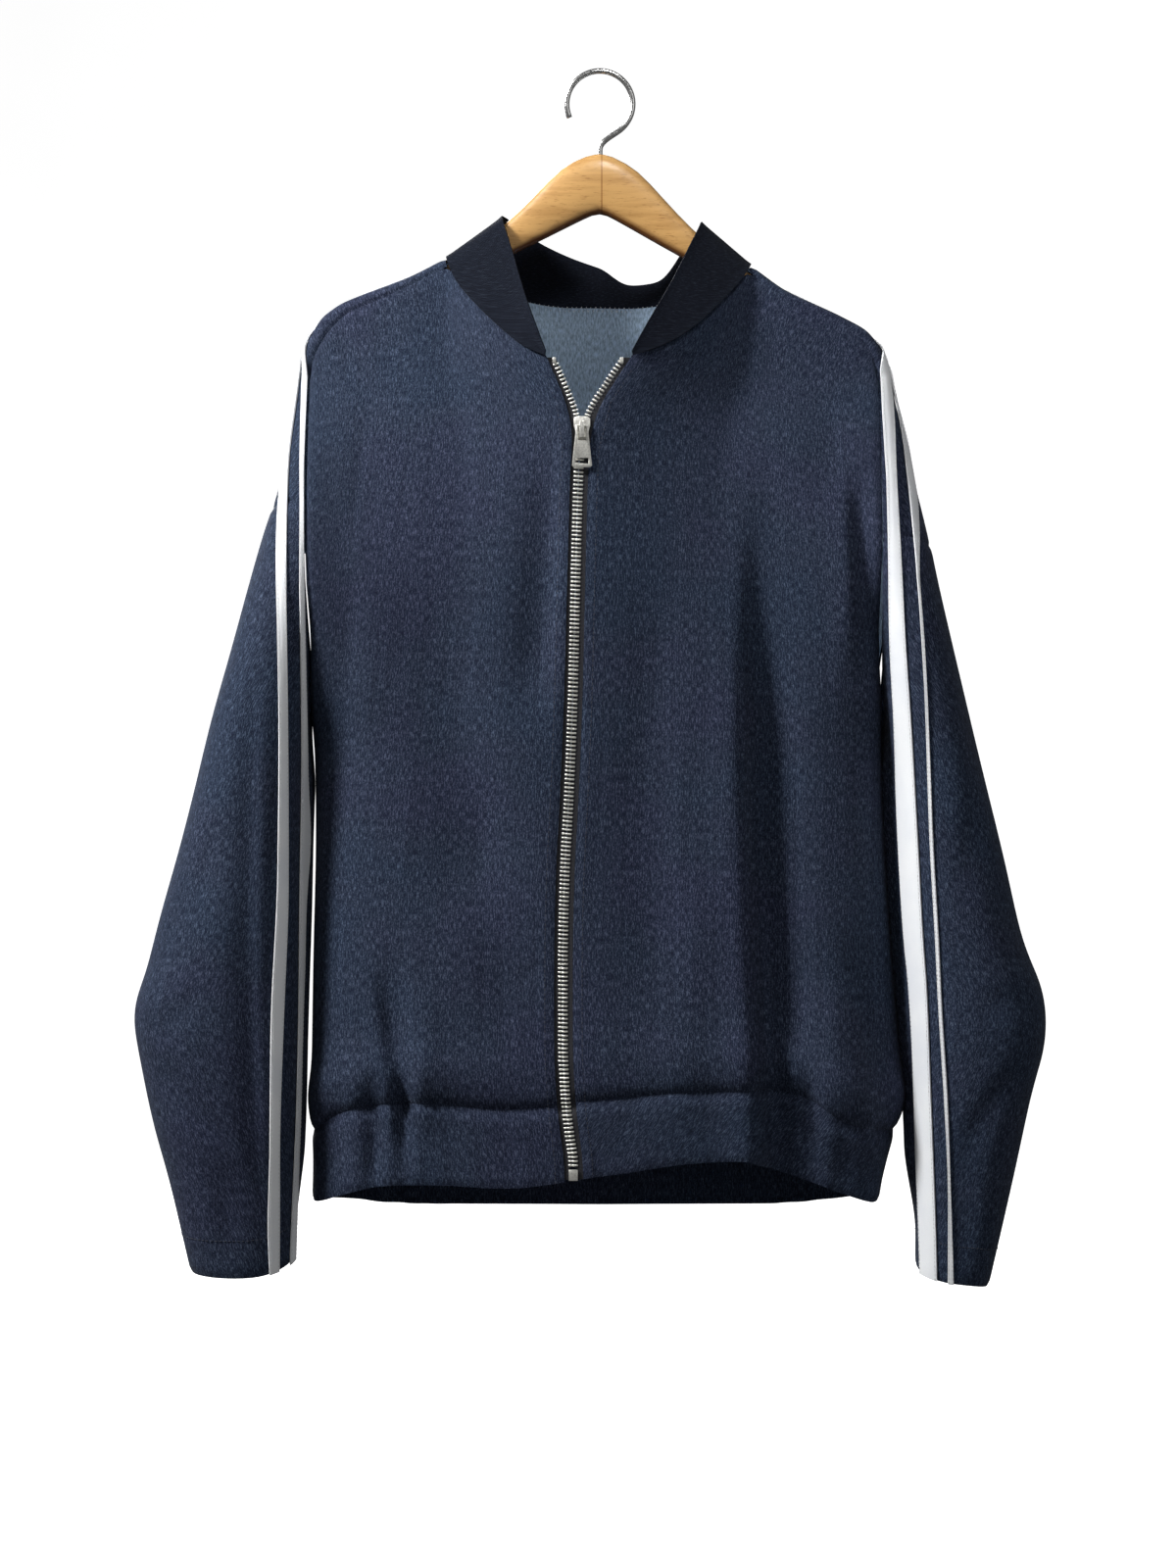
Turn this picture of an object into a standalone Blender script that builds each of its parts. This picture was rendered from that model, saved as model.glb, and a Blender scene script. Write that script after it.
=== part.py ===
"""A denim bomber jacket hanging on a curved wooden hanger.

Units: the tables are in millimetres and the objects in metres, +Z up. The origin is where a rail
carries the hook, -Y is the jacket's front and +X is the wearer's left. Every cloth piece is a wall
made from a grid of points on its outer face. A side is +1 for the wearer's left, -1 for the right,
and the tables of a side give x as a distance outward from the middle.
"""
import math

import bmesh
import bpy
import numpy as np

MM = 0.001

# cloth
DENIM = 1.4
TAPE = 1.0
STRIPE = 1.0
SEAM_GAP = 0.36
LAY_GAP = 0.35
FRONT_INSET = 0.0035
SLEEVE_INSET = 0.9
DROP_LEVELS = (0.003, 0.25, 0.5, 0.75, 0.875, 1.0)
SLEEVE_LEVELS = (*(step / 12 for step in range(13)), 1.14, 1.32, 1.56, 1.8, 1.996)

# the zip: chain line of each side by height, panel edge beside it
ZIP_COLUMNS = ("z", "right", "left")
ZIP_LINE = (
    (-196, -29.5, 14.5), (-210, -23.2, 5.2), (-235, -13.9, -9.5), (-247, -12.2, -12.2),
    (-270, -13.8, -13.8), (-348, -16.0, -16.0), (-412, -17.5, -17.5), (-477, -20.0, -20.0),
    (-536, -23.0, -23.0), (-590, -24.0, -24.0), (-641, -24.0, -24.0), (-666, -23.0, -23.0),
    (-686, -21.5, -21.5), (-702, -19.5, -19.5), (-716, -17.5, -17.5), (-740, -17.0, -17.0),
)
EDGE_TO_CHAIN = {-1: 5.8, 1: 6.4}
TAPE_UNDER = 8.5
TAPE_TOP = -197.0
TAPE_BOTTOM = -729.0
CHAIN_GAP = 0.2
TAPE_SINK = 0.3

# front panels: depth of the front by height, and how square its section is
FRONT_COLUMNS = ("z", "depth", "square")
FRONT = {
    1: ((-196, 56, 1.9), (-250, 58, 2.1), (-309, 58, 2.6), (-380, 57, 3.2), (-434, 56, 3.4),
        (-520, 55, 3.4), (-600, 56, 3.4), (-660, 58, 3.4), (-690, 57, 3.2), (-760, 55, 3.0)),
    -1: ((-196, 56, 2.2), (-250, 58, 2.4), (-309, 58, 2.7), (-380, 57, 3.0), (-434, 56, 3.2),
         (-520, 55, 3.4), (-600, 56, 3.4), (-660, 57, 3.4), (-690, 56, 3.2), (-760, 55, 3.0)),
}
BACK_COLUMNS = ("z", "depth", "square")
BACK = ((-152, 38, 2.2), (-205, 43, 2.2), (-300, 48, 2.6), (-434, 50, 3.0), (-600, 52, 3.2),
        (-690, 52, 3.0), (-760, 49, 2.8))

# side seams below the underarm
SIDE_COLUMNS = ("z", "x", "y")
SIDE = {
    1: ((-434, 186.6, -4), (-450, 186.6, 1), (-500, 188, 4), (-577, 193, 5), (-640, 198, 5),
        (-680, 201, 5), (-702, 197, 5), (-718, 193, 5), (-740, 187, 5), (-760, 184, 5)),
    -1: ((-434, 189.6, -8), (-450, 188.6, 0), (-500, 188, 4), (-600, 190, 5), (-690, 191, 5),
         (-720, 190, 5), (-760, 191, 5)),
}
UNDERARM_Z = -434.0

# hem seam and hem edge by distance from the middle
HEM_COLUMNS = ("x", "seam", "edge")
HEM_FRONT = {
    1: ((-20, -680, -729.5), (18, -677, -724.5), (57, -673.5, -719), (96, -673, -717),
        (122, -674, -727), (134, -677, -730), (145, -689, -733), (168, -698, -741),
        (190, -702, -748)),
    -1: ((16, -682, -729.5), (64, -684.6, -735), (110, -681, -733), (139, -682, -733.5),
         (170, -689, -741), (189, -702, -748)),
}
HEM_BACK = ((0, -706, -758), (120, -706, -757), (200, -702, -748))

# arms: the ring of the sleeve and of the dropped shoulder above it
ARM_COLUMNS = ("z", "inner", "seam", "outer", "middle", "depth")
ARM = {
    1: ((-205, 165, 184, 192, 0, 30), (-227, 160, 184, 197, -1, 46),
        (-250, 160, 184, 203.5, -2, 60), (-276, 162, 184, 209, -3, 72),
        (-309, 167, 184, 217, -4, 84), (-343, 174, 183, 224, -4, 94),
        (-382, 181, 183.5, 233, -4, 100), (-434, 187, 187, 245.5, -4, 104),
        (-470, 192, 192, 254, -6, 104), (-520, 195, 195, 266, -9, 102),
        (-577, 198.5, 198.5, 279, -13, 98), (-616, 201.5, 201.5, 293, -16, 94),
        (-636, 203, 203, 293.5, -17, 91), (-675, 206, 206, 284, -17, 84),
        (-730, 208, 208, 272.5, -15, 72), (-804, 208, 208, 256, -12, 60)),
    -1: ((-207, 170, 192, 200, 0, 30), (-227, 168, 192, 203, -1, 44),
         (-246, 168, 192, 206, -2, 56), (-276, 168, 192, 212, -3, 70),
         (-309, 172, 192, 222.5, -4, 84), (-343, 178, 191, 232, -5, 94),
         (-382, 185, 189.5, 242.5, -6, 100), (-434, 190, 190, 257, -8, 104),
         (-480, 192.5, 192.5, 268, -10, 104), (-519, 193.5, 193.5, 278, -12, 102),
         (-558, 194, 194, 289, -14, 100), (-597, 195, 195, 299, -16, 96),
         (-623, 195.5, 195.5, 307, -17, 93), (-655, 196, 196, 302, -18, 88),
         (-694, 197, 197, 294, -18, 82), (-733, 199, 199, 283.5, -16, 74),
         (-797, 200.5, 200.5, 269, -13, 62)),
}
ARM_SQUARE = 2.3

# the seam that joins the sleeve to the dropped shoulder, by angle round the arm
ARMHOLE_COLUMNS = ("angle", "z")
ARMHOLE = {
    1: ((60, -309), (110, -312), (180, -318), (230, -327), (270, -336)),
    -1: ((60, -286), (110, -288), (180, -293), (230, -304), (270, -318)),
}
CUFF_COLUMNS = ("angle", "z")
CUFF = {
    1: ((0, -791), (90, -799), (180, -803), (270, -798), (360, -791)),
    -1: ((0, -784), (90, -795), (180, -793), (270, -790), (360, -784)),
}

# shoulders: the forward seam and the ridge over the hanger's arm
SHOULDER_COLUMNS = ("seam_x", "seam_y", "seam_z", "ridge_x", "ridge_z")
SHOULDER = {
    1: ((122, -13, -153, 122, -146), (152, -13, -167, 153, -160), (173, -13, -179, 176, -172.5),
        (179, -13.5, -187, 186, -185)),
    -1: ((125, -13, -144, 124, -136.5), (152, -13, -156, 152, -147),
         (168, -13, -163, 170, -154.5), (180, -13, -175, 184, -164.5),
         (190, -13.5, -193, 195, -184)),
}
SHOULDER_TIP_Z = {1: -205.0, -1: -207.0}
TIP_RIDGE = {1: (192.0, -202.0), -1: (200.0, -205.0)}

# collar band: its neck seam (b) and its free edge (t), from the back round to the zip
COLLAR_COLUMNS = ("t", "bx", "by", "bz", "tx", "ty", "tz")
COLLAR = {
    1: ((0, 0, 38, -152, 2, 48, -124), (0.12, 22, 38, -152.5, 21, 49, -135),
        (0.22, 42, 35, -151, 39, 47, -133), (0.36, 66, 27, -145, 57, 35, -112),
        (0.49, 88, 17, -138.5, 66, 16, -102), (0.55, 97, 8, -130.5, 66.5, 7, -100.5),
        (0.6, 100, 0, -128.8, 66.5, 0, -101), (0.645, 98, -9, -133.5, 66, -7, -103),
        (0.7, 90, -19, -145, 64, -13, -108), (0.77, 76, -31, -161, 57, -25, -123),
        (0.85, 57, -43, -179, 45, -38, -148), (0.93, 37, -52, -190.5, 31, -50.5, -173)),
    -1: ((0, 0, 38, -152, -2, 48, -124), (0.12, 22, 38, -152, 18, 48, -117),
         (0.22, 42, 36, -150, 38, 46, -108), (0.36, 68, 27, -143, 54, 36, -99),
         (0.49, 90, 17, -134.5, 62, 16, -95), (0.55, 99, 8, -126, 64, 7, -96),
         (0.6, 101.5, 0, -123.6, 64, 0, -98), (0.645, 100, -9, -130, 63.5, -7, -101),
         (0.7, 95, -17, -141.5, 62, -12, -107), (0.77, 85, -28, -155, 57.5, -21, -122),
         (0.85, 65, -42, -176, 50, -37, -149), (0.93, 48, -52, -190.5, 42, -51, -173)),
}
COLLAR_END_HEIGHT = 3.0
NECK_POINT_T = 0.645
RIDGE_T = 0.59
BEHIND_T = 0.53
NECK_INSET = 0.008

# stripes: their two edges by height on the arm, and on the shoulder as shares of the fold-over
STRIPE_COLUMNS = ("z", "a", "b")
STRIPES = {
    "left_wide": (1, ((-310, 187, 194.7), (-317, 187.2, 195),
                      (-369, 188.6, 197.4), (-450, 193.4, 203), (-516, 196.4, 206.8),
                      (-577, 200, 210), (-600, 202.2, 211.9), (-675, 206.6, 215.2),
                      (-749, 209.2, 218.4), (-790, 210.4, 219.7))),
    "left_narrow": (1, ((-310, 203.4, 207.6), (-330, 204.8, 206.6), (-384, 208.1, 209.9),
                        (-450, 211.3, 213.2), (-508, 213.4, 215.4), (-577, 217.2, 219.2),
                        (-619, 219.3, 221.2), (-675, 223, 225), (-749, 226.4, 228.4),
                        (-795, 226.4, 230))),
    "right_wide": (-1, ((-288, 203.5, 209.6), (-317, 203.4, 209.9),
                        (-430, 202.9, 208), (-538, 203, 209.2), (-625, 206, 213.2),
                        (-712, 208.7, 214.5), (-766, 209.3, 216.4), (-786, 209.6, 215.4))),
    "right_narrow": (-1, ((-288, 192.6, 195.3), (-317, 192.5, 195.2),
                          (-430, 192.4, 195), (-538, 193.9, 196.6), (-625, 195.8, 197.6),
                          (-690, 197.2, 199), (-731, 199.1, 201), (-784, 200.7, 203.4))),
}
# the same stripes on the dropped shoulder, as shares from behind (0) to the forward seam (1)
LANE_COLUMNS = ("level", "a", "b")
STRIPE_LANES = {
    "left_wide": ((0.0, 0.966, 0.897), (0.25, 0.975, 0.903), (0.5, 0.978, 0.881),
                  (0.75, 0.979, 0.822), (1.0, 0.97, 0.74)),
    "left_narrow": ((0.0, 0.798, 0.745), (0.25, 0.788, 0.68), (0.5, 0.762, 0.66),
                    (0.75, 0.7, 0.58), (1.0, 0.62, 0.47)),
    "right_wide": ((0.0, 0.856, 0.751), (0.25, 0.803, 0.642), (0.5, 0.772, 0.6),
                   (0.75, 0.79, 0.63), (1.0, 0.81, 0.67)),
    "right_narrow": ((0.0, 0.985, 0.955), (0.25, 0.985, 0.945), (0.5, 0.985, 0.93),
                     (0.75, 0.985, 0.91), (1.0, 0.98, 0.88)),
}
# and over the shoulder: shares at its columns, from the neck to near the shoulder point
OVER_LANES = {"left_wide": (0.47, 0.28), "left_narrow": (0.21, 0.02),
              "right_wide": (0.21, 0.02), "right_narrow": (0.47, 0.28)}
STRIPE_POINTS = {"left_wide": 5, "left_narrow": 3, "right_wide": 5, "right_narrow": 3}
TURN_LIFT = 0.35
SLEEVE_LIFT = 0.25

# hanger: half of its profile, mirrored, then sheared because it hangs a little askew
HANGER_COLUMNS = ("x", "top", "bottom", "half_thick")
HANGER = (
    (0, -55, -94, 8), (10, -57, -99, 8), (25, -64, -107, 8), (42, -83, -116, 7.6),
    (61, -103, -125.5, 7.2), (80, -118.5, -137, 6.8), (100, -131.8, -151, 6.4),
    (122, -144.2, -165, 6.2), (152, -158, -180, 6), (168, -166, -187, 5.8),
    (176, -171.5, -189, 5), (179.5, -176, -187, 3),
)
HANGER_SLOPE = math.tan(math.radians(2.0))
SEAT_GAP = 0.5
BEHIND_RIDGE = 11.0

# hook
HOOK_WIRE = 2.0
HOOK_BEND = 22.0
HOOK_CENTRE_Z = -20.0
HOOK_BORE_DEPTH = 13.0
HOOK_START = -50.0
HOOK_END = 205.0

# slider, pull tab, box and stops
SLIDER_X = -11.7
SLIDER_TOP = -235.4
SLIDER_HEIGHT = 14.5
SLIDER_WIDE = 10.6
SLIDER_NARROW = 8.6
SLIDER_PLATE = 1.2
TEETH_ROOM = 0.75
POST = (2.0, 3.2)
BRIDGE_DROP = 3.4
BRIDGE_WIDTH = 3.0
BRIDGE_HEIGHT = 10.6
BRIDGE_LEG = 1.5
BRIDGE_BAR = 1.2
BRIDGE_ROOM = 2.7
TAB_LENGTH = 28.0
TAB_TOP_WIDTH = 8.4
TAB_BOTTOM_WIDTH = 13.0
TAB_THICK = 1.4
TAB_BAR = 1.8
TAB_WINDOW = (5.2, 8.6)
TAB_SLOT = (8.4, 3.6)
BOX_SIZE = (5.8, 3.4, 7.0)
BOX_TOP = -722.6
STOP_SIZE = (2.2, 1.0, 4.0)
RUN_GAP = 0.3

COLOURS = {
    "denim": ((0.040, 0.046, 0.085), 0.9, 0.0),
    "stripe": ((0.62, 0.64, 0.66), 0.85, 0.0),
    "tape": ((0.010, 0.010, 0.012), 0.85, 0.0),
    "zip_metal": ((0.56, 0.56, 0.52), 0.35, 1.0),
    "wood": ((0.58, 0.36, 0.15), 0.45, 0.0),
    "hook_steel": ((0.62, 0.62, 0.62), 0.3, 1.0),
}


def smooth_columns(table, keys):
    """Every column after the first, on a smooth curve that never overshoots its rows."""
    table = np.array(sorted(table), dtype=float)
    x = table[:, 0]
    keys = np.clip(np.asarray(keys, dtype=float), x[0], x[-1])
    steps = np.diff(x)
    slopes = np.diff(table[:, 1:], axis=0) / steps[:, None]
    tangents = np.zeros_like(table[:, 1:])
    tangents[0] = slopes[0]
    tangents[-1] = slopes[-1]
    before = slopes[:-1]
    after = slopes[1:]
    agree = before * after > 0
    total = np.where(agree, before + after, 1.0)
    tangents[1:-1] = np.where(agree, 2.0 * before * after / total, 0.0)
    cell = np.clip(np.searchsorted(x, keys, side="right") - 1, 0, len(x) - 2)
    step = steps[cell]
    s = ((keys - x[cell]) / step)[..., None]
    step = step[..., None]
    low = table[cell, 1:]
    high = table[cell + 1, 1:]
    return ((1 + 2 * s) * (1 - s) ** 2 * low + s * (1 - s) ** 2 * step * tangents[cell]
            + s * s * (3 - 2 * s) * high + s * s * (s - 1) * step * tangents[cell + 1])


def read(table, columns, key, *names):
    """The named columns of a table at one key or many."""
    values = smooth_columns(table, key)
    picked = [values[..., columns.index(name) - 1] for name in names]
    return picked[0] if len(picked) == 1 else picked


def along(points, shares):
    """Points at shares 0..1 of a polyline's length."""
    points = np.asarray(points, dtype=float)
    lengths = np.linalg.norm(np.diff(points, axis=0), axis=1)
    at = np.concatenate([[0.0], np.cumsum(lengths)]) / lengths.sum()
    return np.stack([np.interp(shares, at, points[:, i]) for i in range(3)], axis=-1)


def quarter(start, end, square, share):
    """A point at a share of the length of a rounded quarter that leaves start along X
    and meets end along Y."""
    turn = np.linspace(0.0, math.pi / 2, 49)
    x = start[0] + (end[0] - start[0]) * np.sin(turn) ** (2.0 / square)
    y = end[1] + (start[1] - end[1]) * np.cos(turn) ** (2.0 / square)
    z = np.full_like(x, start[2])
    return along(np.stack([x, y, z], axis=-1), share)


def arm_point(side, z, angle):
    """A point of the arm's outer face: 0 degrees is toward the body, 90 the front."""
    inner, outer, middle, depth = read(ARM[side], ARM_COLUMNS, z, "inner", "outer", "middle",
                                       "depth")
    turn = np.radians(angle)
    c = np.cos(turn)
    s = np.sin(turn)
    power = 2.0 / ARM_SQUARE
    x = (inner + outer) / 2 - (outer - inner) / 2 * np.sign(c) * np.abs(c) ** power
    y = middle - depth / 2 * np.sign(s) * np.abs(s) ** power
    return np.stack([side * x, y, np.broadcast_to(z, np.shape(x))], axis=-1)


def angle_at(side, z, x):
    """The angle on the arm's front half where its ring is x from the middle."""
    inner, outer = read(ARM[side], ARM_COLUMNS, z, "inner", "outer")
    c = np.clip(((inner + outer) / 2 - x) / ((outer - inner) / 2), -1.0, 1.0)
    return np.degrees(np.arccos(np.sign(c) * np.abs(c) ** (ARM_SQUARE / 2)))


def front_angle(side, z):
    """The angle of the forward seam and, below it, of the front armhole."""
    return np.where(z <= UNDERARM_Z, 0.0,
                    angle_at(side, z, read(ARM[side], ARM_COLUMNS, z, "seam")))


def back_angle(side, z):
    """The angle of the back armhole, from behind the arm round to the underarm."""
    top = ARMHOLE[side][-1][1]
    share = np.clip((top - z) / (top - UNDERARM_Z), 0.0, 1.0)
    return 270.0 + 90.0 * share ** 1.3


def side_point(side, z, angle):
    """Where the panels end at a height: at the armhole, or at the side seam under it."""
    if z <= UNDERARM_Z:
        x, y = read(SIDE[side], SIDE_COLUMNS, z, "x", "y")
        return np.array([side * x, y, z])
    return arm_point(side, z, angle)


def zip_x(side, z):
    """The chain line of one side of the zip."""
    return read(ZIP_LINE, ZIP_COLUMNS, z, "left" if side > 0 else "right")


def front_section(side, z, share):
    """The front panel's section at a height, from the zip edge round to the side."""
    depth, square = read(FRONT[side], FRONT_COLUMNS, z, "depth", "square")
    start = (zip_x(side, z) + side * EDGE_TO_CHAIN[side], -depth, z)
    return quarter(start, side_point(side, z, float(front_angle(side, z))), square, share)


def back_section(side, z, share):
    """The back panel's section at a height, from the middle out to the side."""
    depth, square = read(BACK, BACK_COLUMNS, z, "depth", "square")
    return quarter((0.0, depth, z), side_point(side, z, float(back_angle(side, z))), square, share)


def neck_seam(side, t):
    """The collar's seam from the middle of the back (0) to the zip (1)."""
    return collar_curve(side, t, "b")


def collar_curve(side, t, edge):
    end = front_section(side, FRONT[side][0][0], 0.0)
    end_row = (1.0, side * end[0], end[1], end[2],
               side * end[0] - 0.6, end[1] - 0.4, end[2] + COLLAR_END_HEIGHT)
    rows = COLLAR[side] + (end_row,)
    x, y, z = read(rows, COLLAR_COLUMNS, t, edge + "x", edge + "y", edge + "z")
    return np.stack([side * x, y, z], axis=-1)


def hanger_top(x):
    """The height of the hanger's upper edge."""
    return read(HANGER, HANGER_COLUMNS, np.abs(x), "top") - x * HANGER_SLOPE


def shoulder_rows(side):
    """Forward seam and ridge from the neck point to the shoulder's tip."""
    neck = neck_seam(side, NECK_POINT_T)
    tip = arm_point(side, SHOULDER_TIP_Z[side], front_angle(side, SHOULDER_TIP_Z[side]))
    seam = [neck]
    ridge = [neck_seam(side, RIDGE_T)]
    for row in SHOULDER[side]:
        named = dict(zip(SHOULDER_COLUMNS, row))
        seam.append(np.array([side * named["seam_x"], named["seam_y"], named["seam_z"]]))
        x = side * named["ridge_x"]
        lift = hanger_top(x) + DENIM + SEAT_GAP if abs(x) < HANGER[-2][0] else -1e9
        ridge.append(np.array([x, 0.0, max(named["ridge_z"], lift)]))
    seam.append(tip)
    ridge.append(np.array([side * TIP_RIDGE[side][0], 0.0, TIP_RIDGE[side][1]]))
    return np.array(seam), np.array(ridge)


def shoulder_shares(side):
    """Shares of the forward seam at which the shoulder table has its rows."""
    lengths = np.linalg.norm(np.diff(shoulder_rows(side)[0], axis=0), axis=1)
    return np.concatenate([[0.0], np.cumsum(lengths)]) / lengths.sum()


def neck_share(section, side, t):
    """The column of a panel that ends at a point of the neck seam."""
    shares = np.linspace(0.0, 1.0, 41)
    x = np.abs(section(side, SHOULDER_TIP_Z[side], shares)[:, 0])
    return float(np.interp(abs(neck_seam(side, t)[0]), x, shares))


def front_top(side, u):
    """The front panel's upper edge: the neck seam, then the forward shoulder seam."""
    split = neck_share(front_section, side, NECK_POINT_T)
    if u <= split:
        curve = neck_seam(side, np.linspace(1.0, NECK_POINT_T, 33))
        return along(curve, u / split)
    return along(shoulder_rows(side)[0], (u - split) / (1.0 - split))


def front_point(side, u, v):
    """The front panel: u from the zip to the side, v from the hem seam to the top."""
    top = front_top(side, u)
    here = front_section(side, hem_z(HEM_FRONT[side], side, u, front_section, "seam"), u)
    z = here[2] + (top[2] - here[2]) * v
    pull = top - front_section(side, top[2], u)
    return front_section(side, z, u) + pull * v ** 3


def hem_z(table, side, u, section, edge):
    """The height of the hem seam or the hem edge at a column."""
    x = side * section(side, -700.0, u)[0]
    return float(read(table, HEM_COLUMNS, x, edge))


def back_turn(side, u):
    """The three points of the fold-over at a shoulder column: behind, on the ridge, at the seam.
    At the neck the fold-over runs along the neck seam."""
    split = neck_share(back_section, side, BEHIND_T)
    share = NECK_INSET + (1.0 - NECK_INSET) * (u - split) / (1.0 - split)
    seam_row, ridge_row = shoulder_rows(side)
    at = shoulder_shares(side)
    seam = along(seam_row, share)
    ridge = np.array([np.interp(share, at, ridge_row[:, i]) for i in range(3)])
    behind = behind_ridge(seam, back_section(side, seam[2], u))
    tip = arm_point(side, SHOULDER_TIP_Z[side], 270.0)
    near_neck = max(1.0 - share / at[1], 0.0) ** 2
    behind = behind + (neck_seam(side, BEHIND_T) - behind) * near_neck
    behind = behind + (tip - behind) * share ** 4
    return behind, ridge, seam


def back_top(side, u):
    """Where the back panel's upright part ends: at the neck seam, or behind the ridge."""
    split = neck_share(back_section, side, BEHIND_T)
    if u >= split - 1e-9:
        return back_turn(side, max(u, split))[0]
    return neck_seam(side, BEHIND_T * u / split) - np.array([0.0, 0.0, 2 * SEAM_GAP])


def behind_ridge(seam, section):
    """A point as far behind the ridge as the forward seam is in front of it."""
    return np.array([seam[0] * 0.5 + section[0] * 0.5, max(abs(seam[1]) + 1.0, BEHIND_RIDGE), seam[2]])


def turn_point(side, u, w):
    """The back panel where it folds over the shoulder: w from behind (0) to the seam (1)."""
    behind, ridge, seam = back_turn(side, u)
    across = (1.0 - math.cos(math.pi * w)) / 2
    return behind + (seam - behind) * across + (ridge - (behind + seam) / 2) * math.sin(math.pi * w)


def back_point(side, u, v):
    """The back panel below the fold-over: v from the hem seam up to behind the ridge."""
    behind = back_top(side, u)
    low = hem_z(HEM_BACK, side, u, back_section, "seam")
    z = low + (behind[2] - low) * v
    pull = behind - back_section(side, behind[2], u)
    return back_section(side, z, u) + pull * v ** 3


def drop_point(side, c, v):
    """The dropped shoulder: c from behind to the forward seam, v from the armhole up."""
    top = turn_point(side, 1.0, c)
    angle = 270.0 + (float(front_angle(side, ARMHOLE[side][0][1])) - 270.0) * c
    low = float(read(ARMHOLE[side], ARMHOLE_COLUMNS, angle, "z"))
    z = low + (top[2] - low) * v
    reach = 270.0 + (float(front_angle(side, z)) - 270.0) * c
    end = 270.0 + (float(front_angle(side, top[2])) - 270.0) * c
    pull = top - arm_point(side, top[2], end)
    return arm_point(side, z, reach) + pull * v ** 2


def sleeve_point(side, c, v, inset=0.0):
    """The sleeve: c from the front edge round to the back, v 0..1 cuff to underarm and
    1..2 underarm to the armhole seam."""
    if v <= 1.0:
        angle = 360.0 * c
        low = float(read(CUFF[side], CUFF_COLUMNS, angle, "z"))
        return arm_point(side, low + (UNDERARM_Z - low) * v, angle)
    first = float(front_angle(side, ARMHOLE[side][0][1]))
    top_angle = first + (270.0 - first) * c
    top = float(read(ARMHOLE[side], ARMHOLE_COLUMNS, top_angle, "z"))
    z = UNDERARM_Z + (top - UNDERARM_Z) * (v - 1.0)
    start = float(front_angle(side, z)) + inset
    end = float(back_angle(side, z)) - inset
    return arm_point(side, z, start + (end - start) * c)


def material(name):
    found = bpy.data.materials.get(name)
    if found:
        return found
    colour, rough, metallic = COLOURS[name]
    made = bpy.data.materials.new(name)
    made.use_nodes = True
    shader = made.node_tree.nodes["Principled BSDF"]
    shader.inputs["Base Color"].default_value = (*colour, 1.0)
    shader.inputs["Roughness"].default_value = rough
    shader.inputs["Metallic"].default_value = metallic
    return made


def add_object(name, mesh, finish):
    obj = bpy.data.objects.new(name, mesh)
    bpy.context.scene.collection.objects.link(obj)
    mesh.materials.append(material(finish))
    mesh.shade_smooth()
    mesh.set_sharp_from_angle(angle=math.radians(40))
    return obj


def cloth(name, grids, thickness, finish):
    """One wall from one or more grids of outer-face points (rows upward, columns so that the
    face looks outward), joined where they share points."""
    bm = bmesh.new()
    for grid in grids:
        rows = [[bm.verts.new(np.asarray(point) * MM) for point in row] for row in grid]
        for low, high in zip(rows, rows[1:]):
            for a, b, c, d in zip(low, low[1:], high[1:], high):
                bm.faces.new((a, b, c, d))
    bmesh.ops.remove_doubles(bm, verts=bm.verts, dist=0.02 * MM)
    mesh = bpy.data.meshes.new(name)
    bm.to_mesh(mesh)
    bm.free()
    obj = add_object(name, mesh, finish)
    wall = obj.modifiers.new("wall", "SOLIDIFY")
    wall.thickness = thickness * MM
    wall.offset = -1.0
    wall.use_even_offset = True
    wall.use_rim = True
    return obj


def prism(name, outline, y_low, y_high, finish):
    """A flat piece with an outline in X and Z, between two depths."""
    bm = bmesh.new()
    verts = [bm.verts.new((x * MM, y_low * MM, z * MM)) for x, z in outline]
    face = bm.faces.new(verts)
    grown = bmesh.ops.extrude_face_region(bm, geom=[face])
    moved = [item for item in grown["geom"] if isinstance(item, bmesh.types.BMVert)]
    bmesh.ops.translate(bm, verts=moved, vec=(0.0, (y_high - y_low) * MM, 0.0))
    bmesh.ops.recalc_face_normals(bm, faces=bm.faces)
    mesh = bpy.data.meshes.new(name)
    bm.to_mesh(mesh)
    bm.free()
    return add_object(name, mesh, finish)


def combine(obj, other, operation):
    """Adds or cuts another object, which stays as a hidden guide."""
    other.hide_render = True
    other.display_type = "WIRE"
    step = obj.modifiers.new(operation.lower(), "BOOLEAN")
    step.operation = operation
    step.object = other
    step.solver = "EXACT"


def box(centre, size):
    """The outline of an upright box and its two depths."""
    x, y, z = centre
    w, d, h = (value / 2 for value in size)
    return ((x - w, z - h), (x + w, z - h), (x + w, z + h), (x - w, z + h)), y - d, y + d


def columns_of(section, side, t, neck):
    """A panel's columns: along the neck seam, then one at each row of the shoulder."""
    split = neck_share(section, side, t)
    return np.concatenate([np.array(neck) * split, split + (1.0 - split) * shoulder_shares(side)[1:]])


def front_columns(side):
    return columns_of(front_section, side, NECK_POINT_T, np.linspace(0.0, 1.0, 6))


def back_columns(side):
    stations = np.array([0.0, 0.14, 0.28, 0.4, 0.48, BEHIND_T])
    return columns_of(back_section, side, BEHIND_T, stations / BEHIND_T)


def front_rows():
    rows = np.linspace(0.0, 1.0, 17)
    rows[0] = SEAM_GAP / 480
    rows[-1] = 1.0 - 2 * SEAM_GAP / 480
    return rows


def band_rows(side, u, section, table):
    """The points of one column of the hem band, upward."""
    top = hem_z(table, side, u, section, "seam") - SEAM_GAP
    low = hem_z(table, side, u, section, "edge")
    return [section(side, low + (top - low) * share, u) for share in np.linspace(0.0, 1.0, 5)]


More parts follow.
